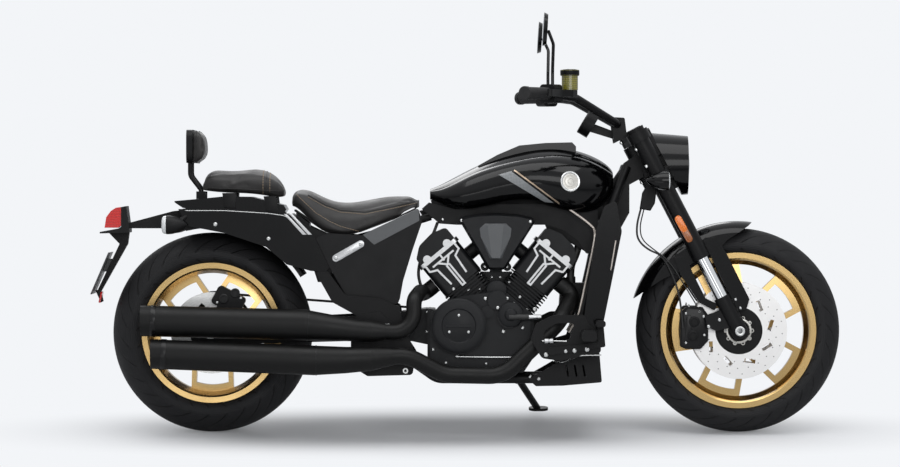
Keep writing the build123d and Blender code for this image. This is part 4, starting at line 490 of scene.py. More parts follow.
def touch(tree, x, z, side=RIGHT):
    """Where a line across the motorcycle, coming in from one side, first meets the surface."""
    hit, normal, _, _ = tree.ray_cast(Vector((x, side * FAR, z)), Vector((0.0, -side, 0.0)))
    if hit is None:
        return None, None
    if normal.y * side < 0:
        normal = -normal
    return hit, normal


def cutting(node, outline, lift=0.35):
    """Skin lifted off a CAD node inside a convex outline of (x, z) points seen from each side."""
    bm = bmesh.new()
    bm.from_mesh(NODES[node].data)
    bmesh.ops.transform(bm, matrix=FROM_ROW, verts=bm.verts)
    bmesh.ops.remove_doubles(bm, verts=bm.verts, dist=1e-3)
    middle = Vector((sum(p[0] for p in outline), 0.0, sum(p[1] for p in outline))) / len(outline)
    for (ax, az), (bx, bz) in zip(outline, outline[1:] + outline[:1]):
        across = Vector((bz - az, 0.0, ax - bx)).normalized()
        start = Vector((ax, 0.0, az))
        if (middle - start).dot(across) > 0:
            across = -across
        bmesh.ops.bisect_plane(bm, geom=bm.verts[:] + bm.edges[:] + bm.faces[:], dist=1e-4, plane_co=start,
                               plane_no=across, clear_outer=True)
    bm.normal_update()
    away = [f for f in bm.faces if abs(f.normal.y) < STEEP or f.normal.y * f.calc_center_median().y < 0]
    bmesh.ops.delete(bm, geom=away, context="FACES")
    bm.normal_update()
    for v in bm.verts:
        v.co += v.normal * lift
    return bm


# ---------------------------------------------------------------- where the trim goes
# (x, z) in upright millimetres
RIDER_SEAM = [(-521, 738), (-470, 709), (-421, 692), (-345, 686), (-257, 704), (-178, 722)]
PASSENGER_SEAM = [(-850, 763), (-833, 768), (-720, 764), (-655, 760), (-612, 757)]
RIDER_LOW_SEAM = [(-560, 748), (-498, 690), (-454, 663), (-421, 648), (-361, 632)]
TANK_BAND = [(72, 809), (111, 820), (244, 721), (216, 724)]
TANK_LINE = [(121, 823), (262, 719)]
TANK_LINE_HALF = 2.2
SIDE_STRIP = [(-351, 622), (-178, 713), (-175, 666), (-316, 591)]
TAIL_STRIP = [(-586, 688), (-566, 686), (-504, 623), (-531, 625)]
# bright line along the tail panels' top edges: a painted highlight, not a pin-line
TAIL_EDGE_HIGHLIGHT = [(-905, 697), (-783, 697), (-651, 689), (-593, 681), (-540, 630)]
SHROUD_LINE = [(215, 752), (245, 736), (333, 674), (358, 654), (372, 640), (373, 612), (348, 491), (324, 377),
               (308, 344), (291, 316)]
SHROUD_EDGE = [(437, 604), (412, 455), (386, 306)]
SHROUD_INSIDE = 70.0
# seat brackets over the tail panels, and the edge strip under the foot plate
SEAT_BRACKETS = ([(-790, 752), (-747, 752), (-749, 699), (-783, 699)],
                 [(-661, 742), (-622, 742), (-614, 684), (-652, 684)])
FOOT_EDGE = [(241, 233), (258, 223), (280, 226), (319, 248), (341, 250), (389, 250)]
# foot and top of the air cleaner's facets, and a place on its face
CLEANER_LOW = [(5, 637), (27, 658), (98, 658), (120, 637), (84, 547), (43, 547)]
CLEANER_HIGH = [(37, 655), (88, 655), (76, 549), (51, 549)]
CLEANER_MIDDLE = (63.0, 600.0)
# dark pieces seen through the gaps round the cylinders
LOOM_TRAY = ([(100, 668), (100, 737), (210, 737), (310, 715), (400, 712), (400, 668)],
             [(-132, 702), (-140, 729), (-96, 738), (-40, 738), (-40, 702)])
THROTTLE_PLATES = (([(14, 504), (116, 504), (92, 462), (38, 462)], 52.0),
                   ([(46, 500), (84, 500), (84, 562), (46, 562)], 44.0))
COOLANT_TANK = [(268, 470), (345, 470), (338, 376), (262, 376)]
GUSSET = [(216, 663), (356, 651), (356, 562), (263, 616), (226, 638)]
# moulded coolant hose and the clipped loom behind the rear head
COOLANT_HOSE = [(330, -34, 610), (318, -40, 560), (296, -44, 520), (300, -40, 470)]
ENGINE_LOOM = [(-118, -50, 660), (-140, -56, 600), (-176, -60, 540), (-180, -58, 470), (-150, -60, 420)]
# centre in mm, axis, pipe radius and ring width
UPPER_RINGS = (((-519, -214.0, 342.3), (-1.0, 0.0, 0.09), 47.6, 3.0),
               ((-1000, -214.0, 355.1), (-1.0, 0.0, 0.03), 48.0, 16.0))
LOWER_RINGS = (((-494, -238.0, 234.1), (-1.0, 0.0, 0.0), 45.8, 3.0),
               ((-966, -238.0, 252.6), (-1.0, 0.0, 0.04), 46.0, 16.0))
HOSE_BRACKET = [(514, 702), (548, 696), (562, 720), (568, 768), (544, 790), (522, 752)]
BRAKE_HOSE = [(524, -68, 722), (514, -80, 690), (504, -92, 648), (506, -98, 606), (540, -102, 574),
              (588, -104, 556), (628, -104, 468), (643, -106, 400), (648, -106, 330)]
SENSOR_LEAD = [(534, -64, 722), (524, -76, 688), (514, -86, 646), (520, -92, 606), (556, -102, 576),
               (606, -114, 540), (655, -116, 460), (690, -116, 402)]
# y where the hoses' bracket starts and its width
HOSE_BRACKET_Y, HOSE_BRACKET_WIDE = -68, 16
# capsule plate's two screws
CAPSULE = ((-435, 549), (-358, 593))
# (x, z) of the round covers on the engine's right
CLUTCH, PUMP, FILLER = (-52.0, 339.0), (110.0, 373.0), (66.0, 448.0)
# (x, y, z) of the round parts, with y for the left side where there are two
FRONT_INDICATOR, REAR_INDICATOR = (600.0, 190.0, 790.0), (-962.0, 172.0, 653.0)
MIRROR, DIAL, RESERVOIR = (218.0, 410.0, 1253.0), (372.0, 0.0, 962.0), (290.0, -286.0, 1115.0)
TAIL_REFLECTOR = (-1174.0, 0.0, 424.0)
# y of a front disc's outer face and of the front axle's end
DISC_FACE, AXLE_END = 75.0, 136.0
# x, z and head radius, drawn up for a common head of this radius
COMMON_HEAD = 4.8
ENGINE_SCREWS = (
    (-102, 669, 4.5), (-43, 666, 5.5), (171, 663, 5.5), (18, 531, 6.5), (111, 531, 6.5), (87, 321, 7.0),
    (147, 332, 6.0), (-152, 380, 4.0), (-152, 318, 4.5), (-132, 265, 5.0), (-92, 224, 4.5), (33, 221, 4.5),
    (-56, 244, 6.0), (-68, 451, 6.0), (-22, 449, 6.0), (13, 452, 6.0), (31, 423, 6.5), (99, 423, 6.5),
    (119, 406, 7.0), (69, 395, 6.0), (59, 503, 6.5), (46, 492, 5.0), (65, 482, 7.0), (106, 473, 6.0),
    (139, 426, 6.0), (162, 388, 6.0), (185, 388, 8.0), (220, 373, 5.5), (-811, 654, 7.5), (-645, 609, 7.0),
    (-233, 397, 6.0), (197, 173, 6.0), (171, 179, 6.0), (279, 262, 6.0), (306, 264, 7.5), (345, 268, 8.0),
    (218, 251, 8.0), (225, 234, 7.0))
FORK_SCREWS = (
    (460, 910, 6.0), (503, 888, 6.0), (534, 835, 6.0), (524, 785, 6.0), (538, 761, 6.0), (554, 737, 6.0),
    (564, 719, 6.0), (813, 419, 5.0), (828, 392, 5.0), (701, 381, 6.0), (748, 383, 6.0), (762, 356, 6.0),
    (728, 335, 6.0))
# drillings of each row round a front disc, their rows, and the lobes of the hub ring
DISC_HOLES, DISC_ROWS, HUB_LOBES = 22, (98.0, 118.0, 136.0), 10
# caliper face in upright millimetres, its two piston caps (x, z, radius) and its bridge bolts
CALIPER_FACE = [(646, 272), (690, 266), (726, 298), (728, 352), (708, 388), (664, 392), (644, 368)]
CALIPER_PISTONS = ((680, 306, 17.0), (684, 350, 17.0))
CALIPER_BOLTS = ((658, 284, 4.5), (658, 376, 4.5), (716, 308, 4.5), (714, 366, 5.0))
RINGED_BOLTS = ((-184, 277), (-218, 199), (-222, 172))
BODIES = frame["record"]["behaviour"]["bodies"]
STEERED = BODIES["steering"]
ROLLING = BODIES["front_wheel"] + BODIES["rear_wheel"]


# ---------------------------------------------------------------- settings
# camera in upright metres, and how far its picture is shifted, in picture widths
CAMERA_AT = (-0.095, -14.8, 0.777)
CAMERA_SHIFT = (5.0 / 900.0, -48.5 / 900.0)
# name, place and target in metres, width and height in metres, watts
LAMPS = (
    ("overhead lamp", (-0.1, -0.6, 3.4), (0.0, 0.0, 0.4), (4.2, 2.0), 66.0),
    ("right lamp", (0.9, -4.2, 2.3), (0.1, 0.0, 0.5), (3.0, 1.6), 40.0),
    ("left lamp", (-0.6, 4.2, 2.4), (0.0, 0.0, 0.6), (3.0, 1.8), 42.0),
    ("low strip", (-1.2, -3.4, 0.35), (0.0, 0.0, 0.35), (2.6, 0.4), 7.0),
)


def hex_prop(name, description, default):
    """A colour kept as sRGB hex text."""
    return bpy.props.StringProperty(name=name, description=description, default=default)


def length_prop(name, description, default):
    """A length kept in metres."""
    return bpy.props.FloatProperty(name=name, description=description, default=default, unit="LENGTH")


class CruiserTones(bpy.types.PropertyGroup):
    """Colours of the main finishes."""
    wheel: hex_prop("Wheels", "Anodised wheels, sRGB hex", "#cdb07a")
    satin: hex_prop("Satin parts", "Frame and fork coating, sRGB hex", "#0a0a0b")
    gloss: hex_prop("Painted parts", "Tank and fender enamel, sRGB hex", "#020203")
    plastic: hex_prop("Mouldings", "Side covers and rear fender, sRGB hex", "#141415")
    exhaust: hex_prop("Exhaust", "Silencers and pipes, sRGB hex", "#0a0a0a")
    engine: hex_prop("Engine", "Cases and cylinders, sRGB hex", "#111214")
    backdrop: hex_prop("Backdrop", "Floor and background, sRGB hex", "#f3f5f8")


class CruiserSizes(bpy.types.PropertyGroup):
    """Sizes of the trim that is laid on the CAD frame."""
    stitch: length_prop("Stitch length", "One stitch of the seat seams", 0.006)
    seat_swell: length_prop("Seat swell", "How far the cushions may puff out", 0.010)
    disc_hole: length_prop("Disc hole", "Radius of each drilling in the discs", 0.0017)
    bolt_head: length_prop("Bolt head", "Radius of the common screw heads", 0.0048)
    lens: bpy.props.FloatProperty(name="Lens", description="Focal length in mm", default=188.16)


# ---------------------------------------------------------------- pieces
class CRUISER_OT_stage(bpy.types.Operator):
    """Camera, lamps, floor and backdrop."""
    bl_idname = "cruiser.stage"
    bl_label = "Stage"

    def execute(self, context):
        scene = context.scene
        tones, sizes = scene.cruiser_tones, scene.cruiser_sizes
        camera = bpy.data.objects.new("camera", bpy.data.cameras.new("camera"))
        scene.collection.objects.link(camera)
        level = Matrix.Rotation(math.radians(90.0), 4, "X")
        camera.matrix_world = UPRIGHT @ Matrix.Translation(CAMERA_AT) @ level
        camera.data.lens = sizes.lens
        camera.data.sensor_width = 36.0
        camera.data.shift_x, camera.data.shift_y = CAMERA_SHIFT
        camera.data.clip_end = 60.0
        scene.camera = camera
        scene.view_settings.view_transform = "Standard"

        world = bpy.data.worlds.new("studio")
        scene.world = world
        world.use_nodes = True
        tree = world.node_tree
        back = tree.nodes["Background"]
        ray = add_node(tree, "LightPath")
        place = add_node(tree, "TexCoord")
        axes = add_node(tree, "SeparateXYZ", {"Vector": place.outputs["Generated"]})
        # reflections see a room that is pale overhead and dimmer at eye level
        sky = add_node(tree, "MapRange", {"Value": axes.outputs["Z"], "From Min": -0.05, "From Max": 0.45,
                                          "To Min": 0.62, "To Max": 1.0}, interpolation_type="SMOOTHSTEP")
        clear = add_node(tree, "Math", {0: ray.outputs["Is Camera Ray"],
                                        1: ray.outputs["Is Transmission Ray"]}, operation="MAXIMUM")
        shiny = add_node(tree, "Mix", {"Factor": ray.outputs["Is Glossy Ray"], "A": 0.42,
                                       "B": sky.outputs[0]}, data_type="FLOAT")
        power = add_node(tree, "Mix", {"Factor": clear.outputs[0], "A": shiny.outputs["Result"], "B": 1.0},
                         data_type="FLOAT")
        tree.links.new(power.outputs["Result"], back.inputs["Strength"])
        back.inputs["Color"].default_value = linear(tones.backdrop)

        for name, at, to, (wide, high), watts in LAMPS:
            data = bpy.data.lights.new(name, "AREA")
            data.shape = "RECTANGLE"
            data.size = wide
            data.size_y = high
            data.energy = watts
            lamp = bpy.data.objects.new(name, data)
            scene.collection.objects.link(lamp)
            aim = (Vector(to) - Vector(at)).to_track_quat("-Z", "Y")
            lamp.matrix_world = Matrix.Translation(at) @ aim.to_matrix().to_4x4()

        bm = bmesh.new()
        bmesh.ops.create_grid(bm, x_segments=2, y_segments=2, size=20.0)
        mesh = bpy.data.meshes.new("floor")
        bm.to_mesh(mesh)
        bm.free()
        floor = bpy.data.objects.new("floor", mesh)
        scene.collection.objects.link(floor)
        # matt painted studio floor that fades into the backdrop away from the tyres
        material = bpy.data.materials.new("Matt studio floor")
        material.use_nodes = True
        tree = material.node_tree
        tree.nodes.remove(tree.nodes["Principled BSDF"])
        out = tree.nodes["Material Output"]
        ray = add_node(tree, "LightPath")
        place = add_node(tree, "TexCoord")
        # a long narrow oval round the line where the tyres stand
        squeeze = add_node(tree, "Mapping", {"Vector": place.outputs["Object"], "Location": SHIFT,
                                             "Scale": (1.75, 0.42, 1.0)}, vector_type="TEXTURE")
        reach = add_node(tree, "VectorMath", {0: squeeze.outputs[0]}, operation="LENGTH")
        near = add_node(tree, "MapRange", {"Value": reach.outputs["Value"], "From Min": 0.30, "From Max": 1.0,
                                           "To Min": 1.0, "To Max": 0.0}, interpolation_type="SMOOTHSTEP")
        speck = add_node(tree, "TexNoise", {"Vector": place.outputs["Object"], "Scale": 3.0})
        tone = add_node(tree, "Mix", {"Factor": speck.outputs["Fac"], "A": (0.76, 0.77, 0.79, 1.0),
                                      "B": (0.80, 0.81, 0.83, 1.0)}, data_type="RGBA")
        lit = add_node(tree, "BsdfDiffuse", {"Color": tone.outputs["Result"]})
        plain = add_node(tree, "Emission", {"Color": linear(tones.backdrop), "Strength": 1.0})
        fade = add_node(tree, "MixShader", {0: near.outputs[0], 1: plain.outputs[0], 2: lit.outputs[0]})
        seen = add_node(tree, "MixShader", {0: ray.outputs["Is Camera Ray"], 1: lit.outputs[0],
                                            2: fade.outputs[0]})
        tree.links.new(seen.outputs[0], out.inputs["Surface"])
        mesh.materials.append(material)
        return {"FINISHED"}


class CRUISER_OT_finishes(bpy.types.Operator):
    """Finish of every CAD node."""
    bl_idname = "cruiser.finishes"
    bl_label = "Finishes"

    def execute(self, context):
        make_finishes(context.scene.cruiser_tones)
        for name, node in NODES.items():
            dress(node, NODE_FINISH[name])
        return {"FINISHED"}


def upright_plate(bm, outline, y, thick, rim, side):
    """Plate from (x, z) points that starts at y and thickens towards one side."""
    place = Matrix(((-side, 0, 0, 0), (0, 0, side, y), (0, 1, 0, 0), (0, 0, 0, 1)))
    plate(bm, [(-side * x, z) for x, z in outline], thick, place, rim)


def side_plate(bm, outline, y, thick, rim):
    """Plate on one side of the motorcycle, with its thickness going outwards."""
    upright_plate(bm, outline, y, thick, rim, math.copysign(1.0, y))


def middle_plate(bm, outline, half, rim):
    """Plate across the middle of the motorcycle, half its thickness to each side."""
    upright_plate(bm, outline, -half, 2.0 * half, rim, LEFT)


def stadium(ax, az, bx, bz, radius):
    """Outline of a bar with round ends between two points."""
    turn = math.atan2(bz - az, bx - ax)
    points = []
    for cx, cz, start in ((bx, bz, -90.0), (ax, az, 90.0)):
        for i in range(9):
            a = turn + math.radians(start + 180.0 * i / 8)
            points.append((cx + radius * math.cos(a), cz + radius * math.sin(a)))
    return points


def tube(name, points, radius, finish, body="frame", straight=False):
    """Round bar or hose of one open line through upright millimetre points."""
    data = bpy.data.curves.new(name, "CURVE")
    data.dimensions = "3D"
    data.bevel_depth = radius / 1000.0
    data.bevel_resolution = 3
    data.resolution_u = 8
    data.use_fill_caps = True
    line = data.splines.new("POLY" if straight else "NURBS")
    line.points.add(len(points) - 1)
    for point, at in zip(line.points, points):
        point.co = (*(TO_ROW @ Vector(at)), 1.0)
    if not straight:
        line.order_u = 3
        line.use_endpoint_u = True
    obj = bpy.data.objects.new(name, data)
    bpy.context.scene.collection.objects.link(obj)
    claim(obj, finish, body)
    return obj


def hose(name, points, radius, body):
    """Flexible line between two fittings, drawn as a round tube in the hose finish."""
    obj = tube(name, points, radius, "hose", body)
    thin = bpy.data.objects.new("thin", obj.data.copy())
    thin.data.bevel_depth = 0.0
    line = bpy.data.meshes.new_from_object(thin)
    bpy.data.meshes.remove(line)
    bpy.data.curves.remove(thin.data)


def stitches(bm, points, length, gap, radius):
    """Short thread dashes along a line of (place, normal) pairs."""
    run = 0.0
    for (a, na), (b, nb) in zip(points, points[1:]):
        span = (b - a).length
        while run < span:
            at = a.lerp(b, run / span) + na.lerp(nb, run / span).normalized() * radius * 0.4
            way = (b - a).normalized()
            turn = way.to_track_quat("Z", "Y").to_matrix().to_4x4()
            bmesh.ops.create_cone(bm, cap_ends=True, segments=6, radius1=radius, radius2=radius, depth=length,
                                  matrix=Matrix.Translation(at) @ turn)
            run += length + gap
        run -= span


def resample(points, step):
    """Even (x, z) points along straight runs."""
    out = []
    for (ax, az), (bx, bz) in zip(points, points[1:]):
        count = max(1, int(math.hypot(bx - ax, bz - az) / step))
        out += [(ax + (bx - ax) * i / count, az + (bz - az) * i / count) for i in range(count)]
    return out + [points[-1]]


# frames that the foam is blown for
FOAM_FRAMES = 20
# a welt is dashes laid end to end: their length and gap, and its radius, in mm
WELT = (6.2, 0.0, 1.5)


def cushion(node, swell):
    """A padded seat part: its CAD solid remeshed, blown up a little by cloth pressure, flat underneath."""
    source = NODES[node].data.copy()
    bm = bmesh.new()
    bm.from_mesh(source)
    bmesh.ops.remove_doubles(bm, verts=bm.verts, dist=1e-5)
    bm.normal_update()
    # it starts a little small, so that the blown skin comes back to about the solid's size
    shrink = swell * 0.45
    for v in bm.verts:
        v.co -= v.normal * shrink
    bm.to_mesh(source)
    bm.free()
    name = node.replace("_seat", "").replace("_pad", "") + "_cushion"
    obj = bpy.data.objects.new(name, source)
    bpy.context.scene.collection.objects.link(obj)
    voxels = obj.modifiers.new("Even skin", "REMESH")
    voxels.mode = "VOXEL"
    voxels.voxel_size = 0.005
    voxels.use_smooth_shade = True
    graph = bpy.context.evaluated_depsgraph_get()
    skin = bpy.data.meshes.new_from_object(obj.evaluated_get(graph))
    skin.name = name
    obj.modifiers.clear()
    obj.data = skin
    rest = [v.co.copy() for v in skin.vertices]
    normals = [v.normal.copy() for v in skin.vertices]
    blown = obj.modifiers.new("Foam pressure", "CLOTH")
    blown.settings.use_pressure = True
    blown.settings.uniform_pressure_force = 4.0
    blown.settings.effector_weights.gravity = 0.0
    blown.settings.quality = 5
    blown.point_cache.frame_start = 1
    blown.point_cache.frame_end = FOAM_FRAMES
    scene = bpy.context.scene
    for step in range(1, FOAM_FRAMES + 1):
        scene.frame_set(step)
    graph = bpy.context.evaluated_depsgraph_get()
    puffed = obj.evaluated_get(graph).to_mesh()
    places = [v.co.copy() for v in puffed.vertices]
    obj.evaluated_get(graph).to_mesh_clear()
    obj.modifiers.clear()
    scene.frame_set(1)
    # the swelling fades out towards the underside, which stays flat
    down = (UPRIGHT.to_3x3() @ Vector((0.0, 0.0, -1.0))).normalized()
    for v, start, end, normal in zip(skin.vertices, rest, places, normals):
        move = end - start
        if move.length > swell:
            move *= swell / move.length
        v.co = start + move * min(1.0, max(0.0, 1.25 - normal.dot(down) * 1.8))
    bm = bmesh.new()
    bm.from_mesh(skin)
    for _ in range(2):
        bmesh.ops.smooth_vert(bm, verts=bm.verts, factor=0.5, use_axis_x=True, use_axis_y=True,
                              use_axis_z=True)
    for face in bm.faces:
        face.smooth = True
    bm.to_mesh(skin)
    bm.free()
    finer = obj.modifiers.new("Fine skin", "SUBSURF")
    finer.levels = finer.render_levels = 1
    claim(obj, "leather", "frame")
    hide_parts(node)
    return obj


def skin_tree(obj):
    """Search tree over a finished piece, in upright millimetres."""
    graph = bpy.context.evaluated_depsgraph_get()
    made = obj.evaluated_get(graph).to_mesh()
    tree = BVHTree.FromPolygons([FROM_ROW @ v.co for v in made.vertices],
                                [tuple(p.vertices) for p in made.polygons])
    obj.evaluated_get(graph).to_mesh_clear()
    return tree


def along_side(tree, points, side):
    """(place, normal) pairs where a side seam's (x, z) points lie on a skin."""
    found = [touch(tree, x, z, side) for x, z in resample(points, 6.0)]
    return [(at, normal) for at, normal in found if at is not None]


def over_top(tree, x, middle):
    """(place, normal) pairs over the top of a skin at one x, from a little below one side to the other."""
    found = []
    for i in range(49):
        a = math.radians(-12.0 + 204.0 * i / 48)
        way = Vector((0.0, math.cos(a), math.sin(a)))
        centre = Vector((x, 0.0, middle))
        hit, normal, _, _ = tree.ray_cast(centre + way * 400.0, -way)
        if hit is not None:
            found.append((hit, normal if normal.dot(way) > 0 else -normal))
    return found


class CRUISER_OT_seats(bpy.types.Operator):
    """Rider's and passenger's cushions and the backrest pad, with their seams and stitching."""
    bl_idname = "cruiser.seats"
    bl_label = "Seats"

    def execute(self, context):
        sizes = context.scene.cruiser_sizes
        long = sizes.stitch * 1000.0
        rider = cushion("rider_seat", sizes.seat_swell)
        tree = skin_tree(rider)
        bm, cord = bmesh.new(), bmesh.new()
        for side in (RIGHT, LEFT):
            for seam in (RIDER_SEAM, RIDER_LOW_SEAM):
                stitches(bm, along_side(tree, seam, side), long, 2.5, 0.8)
            welt = along_side(tree, [(x, z + 6.0) for x, z in RIDER_SEAM], side)
            stitches(cord, welt, *WELT)
        keep_piece("rider_seat_thread", bm, "thread")
        keep_piece("rider_seat_welt", cord, "leather")

        passenger = cushion("passenger_seat", sizes.seat_swell * 0.7)
        tree = skin_tree(passenger)
        bm, cord = bmesh.new(), bmesh.new()
        for x in (-664.0, -643.0):
            stitches(bm, over_top(tree, x, 770.0), long, 2.5, 1.0)
        stitches(cord, over_top(tree, -653.5, 770.0), 6.2, 0.0, 1.3)
        for side in (RIGHT, LEFT):
            stitches(cord, along_side(tree, PASSENGER_SEAM, side), *WELT)
        keep_piece("passenger_seat_thread", bm, "thread")
        keep_piece("passenger_seat_welt", cord, "leather")

        pad = cushion("backrest_pad", sizes.seat_swell * 0.5)
        tree = skin_tree(pad)
        line = []
        for i in range(73):
            a = 2.0 * math.pi * i / 72
            hit, normal, _, _ = tree.ray_cast(Vector((-872.0, 400.0 * math.cos(a),
                                                      898.0 + 200.0 * math.sin(a))),
                                              Vector((0.0, -2.0 * math.cos(a), -math.sin(a))).normalized())
            if hit is not None:
                line.append((hit, normal))
        cord = bmesh.new()
        stitches(cord, line, *WELT)
        keep_piece("backrest_welt", cord, "leather")
        return {"FINISHED"}


class CRUISER_OT_tank_trim(bpy.types.Operator):
    """Twill band, pin-line and round badge blank."""
    bl_idname = "cruiser.tank_trim"
    bl_label = "Tank trim"

    def execute(self, context):
        keep_piece("tank_band", cutting("fuel_tank", TANK_BAND), "band")
        low, high = TANK_LINE
        way = Vector((high[0] - low[0], high[1] - low[1])).normalized() * TANK_LINE_HALF
        across = (-way.y, way.x)
        outline = [(low[0] + across[0], low[1] + across[1]), (high[0] + across[0], high[1] + across[1]),
                   (high[0] - across[0], high[1] - across[1]), (low[0] - across[0], low[1] - across[1])]
        keep_piece("tank_pin_line", cutting("fuel_tank", outline, lift=0.5), "champagne")
        tank = tree_of(["fuel_tank"])
        rim, face = bmesh.new(), bmesh.new()
        for side in (RIGHT, LEFT):
            at, normal = touch(tank, 295.0, 788.0, side)
            place = facing(at - normal * 1.5, normal)
            lathe(rim, [(25.0, 0.0), (25.0, 4.6), (26.5, 5.4), (30.5, 5.2), (32.0, 3.6),
                        (32.0, -4.0)], place, 48)
            lathe(face, [(0.0, 4.4), (6.0, 4.3), (7.0, 3.2), (8.6, 3.2), (9.6, 4.2), (16.6, 3.8), (17.6, 2.6),
                         (19.4, 2.6), (20.2, 3.4), (25.2, 3.2)], place, 48)
        keep_piece("tank_badge_ring", rim, "zinc")
        keep_piece("tank_badge_blank", face, "badge")
        return {"FINISHED"}


class CRUISER_OT_screws(bpy.types.Operator):
    """Bright screws of the engine, clamps and side panels."""
    bl_idname = "cruiser.screws"
    bl_label = "Screws"

    def execute(self, context):
        scale = context.scene.cruiser_sizes.bolt_head * 1000.0 / COMMON_HEAD
        fixed = [n for n in NODES if n not in STEERED + ROLLING]
        steered = [n for n in NODES if n in STEERED]
        for body, name, table, nodes, sides in (
                ("frame", "engine_screws", ENGINE_SCREWS, fixed, (RIGHT,)),
                ("steering", "fork_screws", FORK_SCREWS, steered, (RIGHT, LEFT))):
            tree = tree_of(nodes)
            bm = bmesh.new()
            for side in sides:
                out = (0.0, side, 0.0)
                for x, z, radius in table:
                    at, _ = touch(tree, x, z, side)
                    if at is not None:
                        bolt(bm, at, out, radius * scale, radius * 0.7)
            keep_piece(name, bm, "zinc", body)
        return {"FINISHED"}


class CRUISER_OT_discs(bpy.types.Operator):
    """Black dots painted as the shade in the front discs' drillings, the plain carrier face and the scalloped hub
    ring with its bolts.
    """
    bl_idname = "cruiser.discs"
    bl_label = "Discs"

    def execute(self, context):
        hole = context.scene.cruiser_sizes.disc_hole * 1000.0
        dark, cover, hub, bolts = bmesh.new(), bmesh.new(), bmesh.new(), bmesh.new()
        for side in (RIGHT, LEFT):
            out = (0.0, side, 0.0)
            face = side * DISC_FACE
            # each drilling is a flat satin-black dot on the disc face: painted shade where a hole goes through
            for k in range(DISC_HOLES):
                for row, radius in enumerate(DISC_ROWS):
                    a = 2.0 * math.pi * (k + row * 0.38) / DISC_HOLES
                    at = (FRONT_AXLE.x + radius * math.cos(a), face + side * 0.12,
                          FRONT_AXLE.z + radius * math.sin(a))
                    bmesh.ops.create_circle(dark, cap_ends=True, segments=10, radius=hole,
                                            matrix=facing(at, out))
            place = facing((FRONT_AXLE.x, face, FRONT_AXLE.z), out)
            lathe(cover, [(50.0, 0.4), (50.0, 2.0), (68.6, 2.0), (70.0, 0.8), (70.0, -0.6)], place, 64)
            lathe(hub, [(32.0, 1.0), (32.0, 3.4), (34.0, 4.4), (39.0, 4.4), (40.0, 3.6),
                        (40.0, 0.8)], place, 48)
            for k in range(HUB_LOBES):
                a = 2.0 * math.pi * k / HUB_LOBES
                at = (FRONT_AXLE.x + 41.0 * math.cos(a), face, FRONT_AXLE.z + 41.0 * math.sin(a))
                lathe(hub, [(3.4, 2.4), (4.0, 3.8), (5.8, 3.8), (6.6, 3.0), (6.6, 0.4)], facing(at, out), 16)
                if k % 2:
                    bolt(bolts, (at[0], at[1] + side * 1.5, at[2]), out, 3.4, 3.2)
        keep_piece("front_disc_drillings", dark, "satin", "front_wheel")
        keep_piece("front_carrier_faces", cover, "satin", "front_wheel")
        keep_piece("front_hub_rings", hub, "badge", "front_wheel")
        keep_piece("front_hub_bolts", bolts, "zinc", "front_wheel")
        return {"FINISHED"}


class CRUISER_OT_lights(bpy.types.Operator):
    """Reflectors, the rear one's hanger, and the lens faces of the indicators."""
    bl_idname = "cruiser.lights"
    bl_label = "Lights"

    def execute(self, context):
        legs = tree_of(["fork_outers"])
        bright, dull = bmesh.new(), bmesh.new()
        top, low = (632.5, 671.0), (666.5, 609.0)
        middle = ((top[0] + low[0]) / 2, (top[1] + low[1]) / 2)
        for side in (RIGHT, LEFT):
            at, _ = touch(legs, *middle, side)
            deep = at.y - side * 3.0
            side_plate(bright, stadium(*middle, *top, 11.0), deep, 8.0, 2.0)
            # the lower half of each fork reflector takes a darker copy of the amber: painted shade on one
            # reflector
            side_plate(dull, stadium(*low, *middle, 11.0), deep, 7.6, 2.0)
        glass = bmesh.new()
        tail = bmesh.new()
        for side in (RIGHT, LEFT):
            lathe(glass, [(0.0, 6.0), (14.0, 5.0), (24.0, 2.6), (27.5, 0.4), (27.5, -0.8)],
                  facing(mirrored(FRONT_INDICATOR, side), AHEAD), 40)
            lathe(tail, [(0.0, 15.0), (14.0, 14.4), (23.0, 12.4), (27.0, 8.0), (28.0, 1.0), (28.0, -1.0)],
                  facing(mirrored(REAR_INDICATOR, side), BACK), 40)
        keep_piece("front_indicator_lenses", glass, "pale lens", "steering")
        keep_piece("rear_indicator_lenses", tail, "pale lens")
        hanger, red = bmesh.new(), bmesh.new()
        side_plate(hanger, [(-1194, 447), (-1176, 447), (-1168, 412), (-1176, 408)], -8.0, 16.0, 1.0)
        plate(red, rounded(58.0, 36.0, 7.0), 6.0, facing(TAIL_REFLECTOR, (-1.0, 0.0, 0.22)), 1.2)
        keep_piece("tail_reflector_hanger", hanger, "plastic")
        keep_piece("tail_reflector", red, "red lens")
        keep_piece("fork_reflectors", bright, "amber", "steering")
        keep_piece("fork_reflector_ends", dull, "dark amber", "steering")
        return {"FINISHED"}


def lathe_on(bm, tree, x, z, profile, steps):
    """Turned boss on the right side's surface at (x, z); gives its place."""
    at, _ = touch(tree, x, z)
    lathe(bm, profile, facing(at, TO_RIGHT), steps)
    return at


